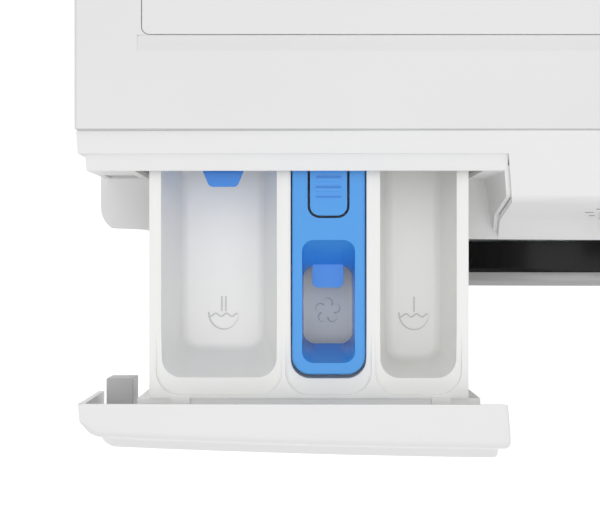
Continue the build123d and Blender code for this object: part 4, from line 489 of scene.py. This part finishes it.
class WASHER_OT_front(bpy.types.Operator):
    """Shape the drawer front as one cap with rounded corners."""

    bl_idname = "washer.front"
    bl_label = "Drawer front"

    # All in mm. The section: back from the front's rear edge, height, and each corner's radius.
    SECTION = ((11.4, 848, 0), (-24.3, 824, 9), (-31.9, 755, 16), (-37.85, 741, 0))
    SKIN = 3.0
    # How far the bow's middle stands in front of the rear edge.
    BULGE = 40.6
    # The sweep starts this far past the left end and stops here, past the right end.
    OVERRUN, SWEEP_END, SWEEP_STEPS = 10.0, -60.0, 12
    # The right end at the rear edge, and its slant as a share of the depth.
    RIGHT, SLANT = -81.9, 0.145
    # The radii of the end corners. The left one grows over BLEND in front of the ledge it rests on.
    LEFT_RADIUS, RIGHT_RADIUS, LEDGE, BLEND = 10.0, 2.6, 9.0, 8.0
    # Cuts that let the skin bend: in from the left end, by half as much from the right end, and
    # forwards from the rear edge.
    COLUMNS = (0.15, 0.6, 1.3, 2.3, 3.6, 5.2, 7.2, 9.6)
    ROWS = (9, 11, 13, 15)
    # The floor under the front: its two ends and where it stops, back from the rear edge.
    FLOOR, FLOOR_BACK = (-292.0, -84.3), -15.8
    # The ribs: place across, where they stop, thickness, foot and head.
    RIBS = ((-85.8, -8.8, 3.0, 741, 838), (-245.0, -1.9, 2.4, 747, 814),
            (-183.0, -1.9, 2.4, 747, 814), (-121.0, -1.9, 2.4, 747, 814))
    # Points closer than this, in metres, count as one.
    TOUCH = 1e-6

    def execute(self, context):
        colours = context.scene.washer_colours
        self.low, self.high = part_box("drawer_front")
        self.back = self.high.y
        # ABS moulded in a polished tool: smooth, with a clear gloss and hardly any grain.
        gloss = moulding("polished_abs_white", colours.drawer, 0.3, 1.4, 0.002, drift=0.015,
                         shine=0.3)
        bm = bmesh.new()
        self.skin(bm)
        cap = finish_piece(bm, "drawer_front_cap", "drawer", gloss, smooth=True,
                           closed=False)
        self.thicken(cap, context)
        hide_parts("drawer_front")
        bm = bmesh.new()
        for rib in self.RIBS:
            self.web(bm, *rib)
        finish_piece(bm, "drawer_front_ribs", "drawer", gloss)
        return {"FINISHED"}

    def section(self, bm, x):
        """Draws the front's section as a wire at a place along the bow and rounds its corners."""
        verts = [bm.verts.new((0, self.back + y * MM, z * MM)) for y, z, _ in self.SECTION]
        runs = [after.co - before.co for before, after in zip(verts, verts[1:])]
        for pair in zip(verts, verts[1:]):
            bm.edges.new(pair)
        for i in (1, 2):
            reach = self.SECTION[i][2] * MM * math.tan(runs[i - 1].angle(runs[i]) / 2)
            bmesh.ops.bevel(bm, geom=[verts[i]], offset=reach, offset_type="OFFSET", segments=8,
                            profile=0.5, affect="VERTICES", material=-1)
        wire = [item for item in [*bm.verts, *bm.edges] if not item.link_faces]
        bmesh.ops.rotate(bm, verts=only_verts(wire), cent=self.spine(),
                         matrix=Matrix.Rotation(self.turn(x), 3, "Z"))
        return wire

    def spine(self):
        """The upright axis that the front is bowed round."""
        return Vector((0, self.back + (BOW - self.BULGE) * MM, 0))

    def turn(self, x):
        """The angle about the spine at a place across the front."""
        return math.asin(x / (BOW * MM))

    def skin(self, bm):
        """Sweeps the section along the bow, trims and rounds its ends, adds left wall and floor."""
        left, right = self.low.x, Vector((self.RIGHT * MM, self.back, 0))
        outward = Vector((1, self.SLANT, 0)).normalized()
        start = left - self.OVERRUN * MM
        bmesh.ops.spin(bm, geom=self.section(bm, start), cent=self.spine(), axis=(0, 0, 1),
                       angle=self.turn(self.SWEEP_END * MM) - self.turn(start),
                       steps=self.SWEEP_STEPS)
        self.cut(bm, left, right, outward)
        ends = [edge for edge in bm.edges
                if all(abs(v.co.x - left) < self.TOUCH for v in edge.verts)]
        near, far = (self.FLOOR[0] - 0.1) * MM, (self.FLOOR[1] + 0.1) * MM
        foot = [edge for edge in bm.edges
                if all(v.co.z < self.low.z + self.TOUCH and near < v.co.x < far for v in edge.verts)]
        wall = bm.verts.layers.deform.verify()
        for vert in bm.verts:
            share = (self.back - self.LEDGE * MM - vert.co.y) / (self.BLEND * MM)
            share = min(1.0, max(0.0, share))
            share = share * share * (3 - 2 * share)
            near_right = self.fall(self.RIGHT_RADIUS * MM, (right - vert.co).dot(outward))
            vert[wall][0] = 1 - near_right / (self.SKIN * MM)
            vert.co.y += near_right + self.fall(self.LEFT_RADIUS * MM * share, vert.co.x - left)
        for edges, depth in ((ends, 0), (foot, self.FLOOR_BACK)):
            made = bmesh.ops.extrude_edge_only(bm, edges=edges)["geom"]
            for vert in only_verts(made):
                vert.co.y = self.back + depth * MM
                vert[wall][0] = 1.0
        bmesh.ops.remove_doubles(bm, verts=bm.verts, dist=self.TOUCH)
        bmesh.ops.recalc_face_normals(bm, faces=bm.faces)
        if max(bm.faces, key=lambda face: face.calc_area()).normal.y > 0:
            bmesh.ops.reverse_faces(bm, faces=bm.faces)

    def cut(self, bm, left, right, outward):
        """Trims the swept skin at both ends and the rear edge, and cuts its columns and rows."""
        leftward, rearward = Vector((-1, 0, 0)), Vector((0, 1, 0))
        cuts = [(Vector((left, 0, 0)), leftward, True), (right, outward, True),
                (right, rearward, True)]
        cuts += [(Vector((left + d * MM, 0, 0)), leftward, False) for d in self.COLUMNS]
        cuts += [(right - outward * d * MM / 2, outward, False) for d in self.COLUMNS]
        cuts += [(Vector((x * MM, 0, 0)), leftward, False) for x in self.FLOOR]
        cuts += [(Vector((0, self.back - d * MM, 0)), rearward, False) for d in self.ROWS]
        for at, way, clear in cuts:
            bmesh.ops.bisect_plane(bm, geom=[*bm.verts, *bm.edges, *bm.faces], dist=1e-7,
                                   plane_co=at, plane_no=way, clear_outer=clear)

    def fall(self, radius, inside):
        """How far a corner of that radius falls back at a distance in from the end."""
        if inside >= radius:
            return 0.0
        return radius - math.sqrt(max(0.0, radius ** 2 - (radius - inside) ** 2))

    def thicken(self, cap, context):
        """Gives the skin its wall on the inner side, thinner where the right end is rounded."""
        wall = cap.modifiers.new("wall", "SOLIDIFY")
        wall.thickness = self.SKIN * MM
        wall.offset = -1
        wall.use_even_offset = True
        wall.use_quality_normals = True
        wall.vertex_group = cap.vertex_groups.new(name="wall").name
        thick = bpy.data.meshes.new_from_object(cap.evaluated_get(context.evaluated_depsgraph_get()))
        cap.modifiers.remove(wall)
        cap.data = thick
        for vert in thick.vertices:
            vert.co.y = min(vert.co.y, self.back)
            vert.co.z = max(vert.co.z, self.low.z)
        thick.set_sharp_from_angle(angle=SHARP)

    def web(self, bm, x, stop, thickness, foot, head):
        """An upright rib behind the skin, from its middle to a place in front of the rear edge."""
        part = bmesh.new()
        self.section(part, x * MM)
        bmesh.ops.translate(part, verts=part.verts, vec=(0, self.SKIN / 2 * MM, 0))
        rear = self.back + stop * MM
        for at, way in (((0, 0, foot * MM), (0, 0, -1)), ((0, 0, head * MM), (0, 0, 1)),
                        ((0, rear - 1 * MM, 0), (0, 1, 0))):
            bmesh.ops.bisect_plane(part, geom=[*part.verts, *part.edges], plane_co=at, plane_no=way,
                                   clear_outer=True)
        made = bmesh.ops.extrude_edge_only(part, edges=part.edges)["geom"]
        for vert in only_verts(made):
            vert.co.y = rear
        bmesh.ops.solidify(part, geom=part.faces, thickness=thickness * MM)
        mesh = bpy.data.meshes.new("web")
        part.to_mesh(mesh)
        part.free()
        bm.from_mesh(mesh)
        bpy.data.meshes.remove(mesh)


class WASHER_OT_softener(bpy.types.Operator):
    """Dress the blue softener insert, release tab and liquid flap."""

    bl_idname = "washer.softener"
    bl_label = "Softener insert"

    # The tab's painted shadow lines in mm: half their length, the first one from the tab's front,
    # their pitch and width, how deep the hollows are, and the tab's plain end.
    LINE_HALF, LINE_START, LINE_PITCH, LINE_WIDTH = 6.5, 10.0, 5.2, 0.7
    HOLLOW, PLAIN_END = 0.6, 21

    def execute(self, context):
        colours = context.scene.washer_colours
        # Dyed polypropylene: glossy, with a little light spreading under the surface.
        blue = moulding("polypropylene_blue", colours.softener, 0.26, 1.2, 0.02, drift=0.06,
                        inner_glow=0.05)
        paint(blue, "softener_cap", "release_tab")
        # The same plastic in a darker blue as painted shade: it darkens the flap for the shade it
        # lies in under the fascia's ledge, and draws the shadows between the tab's ribs.
        shaded_blue = moulding("polypropylene_blue_painted_shade", colours.flap, 0.26, 1.2, 0.02, drift=0.06,
                        inner_glow=0.05)
        paint(shaded_blue, "liquid_flap")
        soften(0.4 * MM, "softener_cap", "release_tab", "liquid_flap")
        self.rib_shadow_lines(shaded_blue)
        return {"FINISHED"}

    def rib_shadow_lines(self, shaded_blue):
        """Painted shadow lines, in the darker blue, in the hollows between the release tab's ribs.
        """
        low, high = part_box("release_tab")
        middle = (low.x + high.x) / 2
        start, pitch, width = self.LINE_START * MM, self.LINE_PITCH * MM, self.LINE_WIDTH * MM
        ribbed = high.y - low.y - self.PLAIN_END * MM - start
        bm = bmesh.new()
        for i in range(int(ribbed / pitch) + 1):
            y = low.y + start + i * pitch - width / 2
            ends = [Vector((middle + side * self.LINE_HALF * MM, y, high.z - self.HOLLOW * MM))
                    for side in (-1, 1)]
            ridge(bm, ends, width, self.HOLLOW * MM * 0.7)
        finish_piece(bm, "tab_rib_shadow_lines", "release", shaded_blue)


class WASHER_OT_door(bpy.types.Operator):
    """Dress the door, its glass and the bellows."""

    bl_idname = "washer.door"
    bl_label = "Door"

    def execute(self, context):
        colours = context.scene.washer_colours
        # Polished black ABS: deep and glossy, with a reflection kept low.
        black = moulding("piano_black_abs", colours.ring, 0.2, 1.6, 0.01, drift=0.2, shine=0.2)
        paint(black, "door_outer_ring")
        silver = bpy.data.materials["silver_lacquered_abs"]
        paint(silver, "door_rim", "door_handle")
        paint(pressed_glass("pressed_glass"), "door_glass")
        # Moulded EPDM rubber: matt, with a fine sandblasted grain of 0.8 mm.
        bellows = moulding("epdm_grey", linear("7C7F83"), 0.62, 0.8, 0.06, drift=0.1)
        paint(bellows, "door_gasket")
        # Cast zinc: a dull bright grey, mottled at 3 mm as the casting cooled.
        cast = metal("cast_zinc", linear("B9BBBD"), 0.42, (1, 1, 1), 3.0)
        paint(cast, "hinge_bracket", "hinge_leaf", "door_hook")
        soften(0.8 * MM, "door_rim", "door_handle")
        return {"FINISHED"}


class WASHER_OT_drum(bpy.types.Operator):
    """Dress the drum and lay dark discs of painted shade where its holes are."""

    bl_idname = "washer.drum"
    bl_label = "Drum"

    # Rows of holes along the drum, holes in each row, and in mm the first row, their pitch, how
    # far in from the outside the discs lie, and the discs' thickness.
    ROWS, HOLES = 11, 54
    FIRST_ROW, ROW_PITCH, INSET, DISC = 30, 25, 1.5, 0.3

    def execute(self, context):
        sizes = context.scene.washer_sizes
        # Stainless sheet, rolled and spun: bright, with fine lines that run round the drum.
        steel = metal("rolled_stainless", linear("D2D3D4"), 0.24, (1, 1, 1), 1.2, axle=AXLE)
        paint(steel, "drum_shell")
        # Grey polypropylene with a satin grain of 0.9 mm.
        lifter = moulding("polypropylene_grey", linear("8E9194"), 0.4, 0.9, 0.05, drift=0.06)
        paint(lifter, "drum_lifters", "tub_front", "tub_rear")
        # The shade in a punched hole: nearly black and without gloss.
        dark = moulding("hole_shadow", linear("161718"), 0.8, 1.0, 0.02, drift=0.2)
        low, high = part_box("drum_shell")
        radius = (high.z - low.z) / 2 - self.INSET * MM
        bm = bmesh.new()
        for row in range(self.ROWS):
            y = low.y + (self.FIRST_ROW + self.ROW_PITCH * row) * MM
            for step in range(self.HOLES):
                a = math.radians((step + 0.5 * (row % 2)) * 360 / self.HOLES)
                turn = Matrix.Translation((0, y, AXLE)) @ Matrix.Rotation(a, 4, "Y")
                disc = turn @ Matrix.Translation((0, 0, radius))
                bmesh.ops.create_cone(bm, cap_ends=True, segments=8, radius1=sizes.hole_radius,
                                      radius2=sizes.hole_radius, depth=self.DISC * MM, matrix=disc)
        finish_piece(bm, "drum_hole_shades", "drum", dark)
        return {"FINISHED"}


class WASHER_OT_works(bpy.types.Operator):
    """Give the working parts inside their metals and concrete, and add the foam strip and the
    screws.
    """

    bl_idname = "washer.works"
    bl_label = "Working parts"

    # All in mm. The foam strip: in from the worktop's sides, its play, height and top's depth.
    SEAL_INSET, SEAL_PLAY, SEAL_HEIGHT, SEAL_DOWN = 1.0, 0.1, 7.0, 2.1
    # The cover's screws: in from its sides, in from its ends, how many on a side.
    SCREW_SIDE, SCREW_END, SCREWS = 9, 60, 4
    # A screw head: radius at its foot and top, height, and how far out its foot is.
    HEAD_FOOT, HEAD_TOP, HEAD_HEIGHT, HEAD_OUT = 4, 2.8, 2.0, 1.2

    def execute(self, context):
        # Zinc plating on steel: a cool grey, with lines drawn along the depth.
        zinc = metal("zinc_plated_steel", linear("B4B7B9"), 0.35, (1, 0.3, 1), 2.5)
        paint(zinc, "top_brace", "suspension_springs", "motor_pulley", "heater_element",
              "foot_lock_nuts", "drum_bearings")
        # Die-cast aluminium: paler and duller than the zinc, mottled at 2 mm.
        alloy = metal("die_cast_aluminium", linear("BEC0C2"), 0.45, (1, 1, 1), 2.0)
        paint(alloy, "motor", "drum_spider", "drum_pulley")
        # Cast concrete: grit of about 4 mm in a pale grey paste.
        concrete = moulding("cast_concrete", linear("A6A29A"), 0.85, 4.0, 0.6, drift=0.3)
        paint(concrete, "counterweight_top", "counterweight_front")
        self.rear_screws(zinc)
        self.joint_seal()
        return {"FINISHED"}

    def joint_seal(self):
        """The grey foam strip in the joint between the worktop and the fascia."""
        # Closed-cell foam: matt and pale, with cells of about 1 mm.
        foam = moulding("foam_seal_grey", linear("DADADA"), 0.8, 1.0, 0.05, drift=0.1)
        low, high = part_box("worktop_frame")
        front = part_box("control_fascia")[1].y
        size = Matrix.Diagonal((2 * (high.x - self.SEAL_INSET * MM),
                                low.y - front - self.SEAL_PLAY * MM, self.SEAL_HEIGHT * MM, 1))
        at = Vector((0, (front + low.y) / 2, TOP - (self.SEAL_DOWN + self.SEAL_HEIGHT / 2) * MM))
        bm = bmesh.new()
        bmesh.ops.create_cube(bm, size=1, matrix=Matrix.Translation(at) @ size)
        finish_piece(bm, "joint_seal", "cabinet", foam)

    def rear_screws(self, zinc):
        """Pan-head screws round the service cover."""
        low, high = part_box("rear_panel")
        y = low.y + (self.HEAD_OUT + self.HEAD_HEIGHT / 2) * MM
        run = high.z - low.z - 2 * self.SCREW_END * MM
        upright = Matrix.Rotation(math.radians(-90), 4, "X")
        bm = bmesh.new()
        for x in (low.x + self.SCREW_SIDE * MM, high.x - self.SCREW_SIDE * MM):
            for i in range(self.SCREWS):
                z = low.z + self.SCREW_END * MM + run * i / (self.SCREWS - 1)
                bmesh.ops.create_cone(bm, cap_ends=True, segments=20, radius1=self.HEAD_FOOT * MM,
                                      radius2=self.HEAD_TOP * MM, depth=self.HEAD_HEIGHT * MM,
                                      matrix=Matrix.Translation((x, y, z)) @ upright)
        finish_piece(bm, "cover_screws", "cabinet", zinc)


class WASHER_OT_stage(bpy.types.Operator):
    """Set up the floor, the lights and the camera of the photograph."""

    bl_idname = "washer.stage"
    bl_label = "Stage"

    # The camera's place in mm, across and from the front plane, looking straight down.
    CAMERA = (-184, -14)
    # The width in metres seen at the worktop, the picture's width and its shift in pixels.
    FIELD, PIXELS, SHIFT = 0.3, 600, (-6, -4)
    SENSOR = 36
    # Half the floor's width in metres, and its glow where the camera sees it.
    FLOOR_HALF, FLOOR_GLOW = 6, 0.62
    # The surroundings as a light, and as the camera sees them.
    SKY_LIGHT, SKY_SEEN = 0.54, 1.0

    def execute(self, context):
        height = context.scene.washer_sizes.camera_height
        self.floor()
        self.world(context)
        self.lamp("overhead", (-0.3, FRONT, 2.7), (-0.2, FRONT - 0.02, 0.82), 2.2, 14)
        self.lamp("front", (0.3, FRONT - 1.4, 2.3), (-0.1, FRONT, 0.8), 1.6, 6)
        camera = bpy.data.objects.new("camera", bpy.data.cameras.new("camera"))
        context.scene.collection.objects.link(camera)
        camera.location = place(*self.CAMERA, TOP / MM) + Vector((0, 0, height))
        camera.data.sensor_width = self.SENSOR
        camera.data.lens = self.SENSOR * height / self.FIELD
        camera.data.shift_x = self.SHIFT[0] / self.PIXELS
        camera.data.shift_y = self.SHIFT[1] / self.PIXELS
        camera.data.clip_end = 50
        context.scene.camera = camera
        context.scene.view_settings.view_transform = "Standard"
        return {"FINISHED"}

    def seen(self, tree):
        """1 where the camera looks straight, in a reflection or through glass, and 0 elsewhere."""
        rays = add_node(tree, "ShaderNodeLightPath")
        mirrored = add_node(tree, "ShaderNodeMath", None,
                            {0: rays.outputs["Is Camera Ray"], 1: rays.outputs["Is Glossy Ray"]},
                            operation="MAXIMUM")
        through = add_node(tree, "ShaderNodeMath", None,
                           {0: mirrored.outputs[0], 1: rays.outputs["Is Transmission Ray"]},
                           operation="MAXIMUM")
        return through.outputs[0]

    def floor(self):
        """A pale floor that reads white to the camera and keeps the shadow."""
        bm = bmesh.new()
        bmesh.ops.create_grid(bm, x_segments=1, y_segments=1, size=self.FLOOR_HALF)
        mesh = bpy.data.meshes.new("floor")
        bm.to_mesh(mesh)
        bm.free()
        # Matt studio paper with a glow of its own, so that it stays near white round the machine.
        material = new_material("studio_floor")
        tree = material.node_tree
        glow = add_node(tree, "ShaderNodeMath", {1: self.FLOOR_GLOW}, {0: self.seen(tree)},
                        operation="MULTIPLY")
        shader = add_node(tree, "ShaderNodeBsdfPrincipled",
                          {"Base Color": linear("E2E2E2"), "Roughness": 0.9,
                           "Emission Color": (1.0, 1.0, 1.0, 1.0)},
                          {"Emission Strength": glow.outputs[0]})
        add_node(tree, "ShaderNodeOutputMaterial", None, {"Surface": shader.outputs["BSDF"]})
        mesh.materials.append(material)
        floor = bpy.data.objects.new("floor", mesh)
        bpy.context.scene.collection.objects.link(floor)

    def world(self, context):
        """Even light from all round, white behind the object."""
        world = bpy.data.worlds.new("studio")
        context.scene.world = world
        world.use_nodes = True
        tree = world.node_tree
        tree.nodes.clear()
        strength = add_node(tree, "ShaderNodeMapRange",
                            {"To Min": self.SKY_LIGHT, "To Max": self.SKY_SEEN},
                            {"Value": self.seen(tree)})
        sky = add_node(tree, "ShaderNodeBackground", {"Color": (1.0, 1.0, 1.0, 1.0)},
                       {"Strength": strength.outputs["Result"]})
        add_node(tree, "ShaderNodeOutputWorld", None, {"Surface": sky.outputs["Background"]})

    def lamp(self, name, at, target, size, power):
        """A square soft box aimed at a point."""
        data = bpy.data.lights.new(name, "AREA")
        data.size = size
        data.energy = power
        lamp = bpy.data.objects.new(name, data)
        bpy.context.scene.collection.objects.link(lamp)
        lamp.location = at
        lamp.rotation_euler = (Vector(target) - Vector(at)).to_track_quat("-Z", "Y").to_euler()


class WASHER_PT_pieces(bpy.types.Panel):
    """Lists the steps that dress the washing machine."""

    bl_idname = "WASHER_PT_pieces"
    bl_label = "Washing machine"
    bl_space_type = "VIEW_3D"
    bl_region_type = "UI"
    bl_category = "Washer"

    def draw(self, context):
        for group in (context.scene.washer_colours, context.scene.washer_sizes):
            for name in group.bl_rna.properties.keys():
                if name not in {"rna_type", "name"}:
                    self.layout.prop(group, name)
        for step in STEPS:
            self.layout.operator(step.bl_idname)


STEPS = (WASHER_OT_panels, WASHER_OT_controls, WASHER_OT_drawer, WASHER_OT_front, WASHER_OT_softener,
         WASHER_OT_door, WASHER_OT_drum, WASHER_OT_works, WASHER_OT_stage)
CLASSES = (WasherColours, WasherSizes, *STEPS, WASHER_PT_pieces)


def register():
    """Registers the classes and hangs the settings on the scene."""
    for cls in CLASSES:
        bpy.utils.register_class(cls)
    bpy.types.Scene.washer_colours = bpy.props.PointerProperty(type=WasherColours)
    bpy.types.Scene.washer_sizes = bpy.props.PointerProperty(type=WasherSizes)


def unregister():
    """Takes the settings off the scene and removes the classes."""
    del bpy.types.Scene.washer_sizes
    del bpy.types.Scene.washer_colours
    for cls in reversed(CLASSES):
        bpy.utils.unregister_class(cls)


def main():
    register()
    for step in STEPS:
        group, call = step.bl_idname.split(".")
        getattr(getattr(bpy.ops, group), call)()


if __name__ == "__main__":
    main()
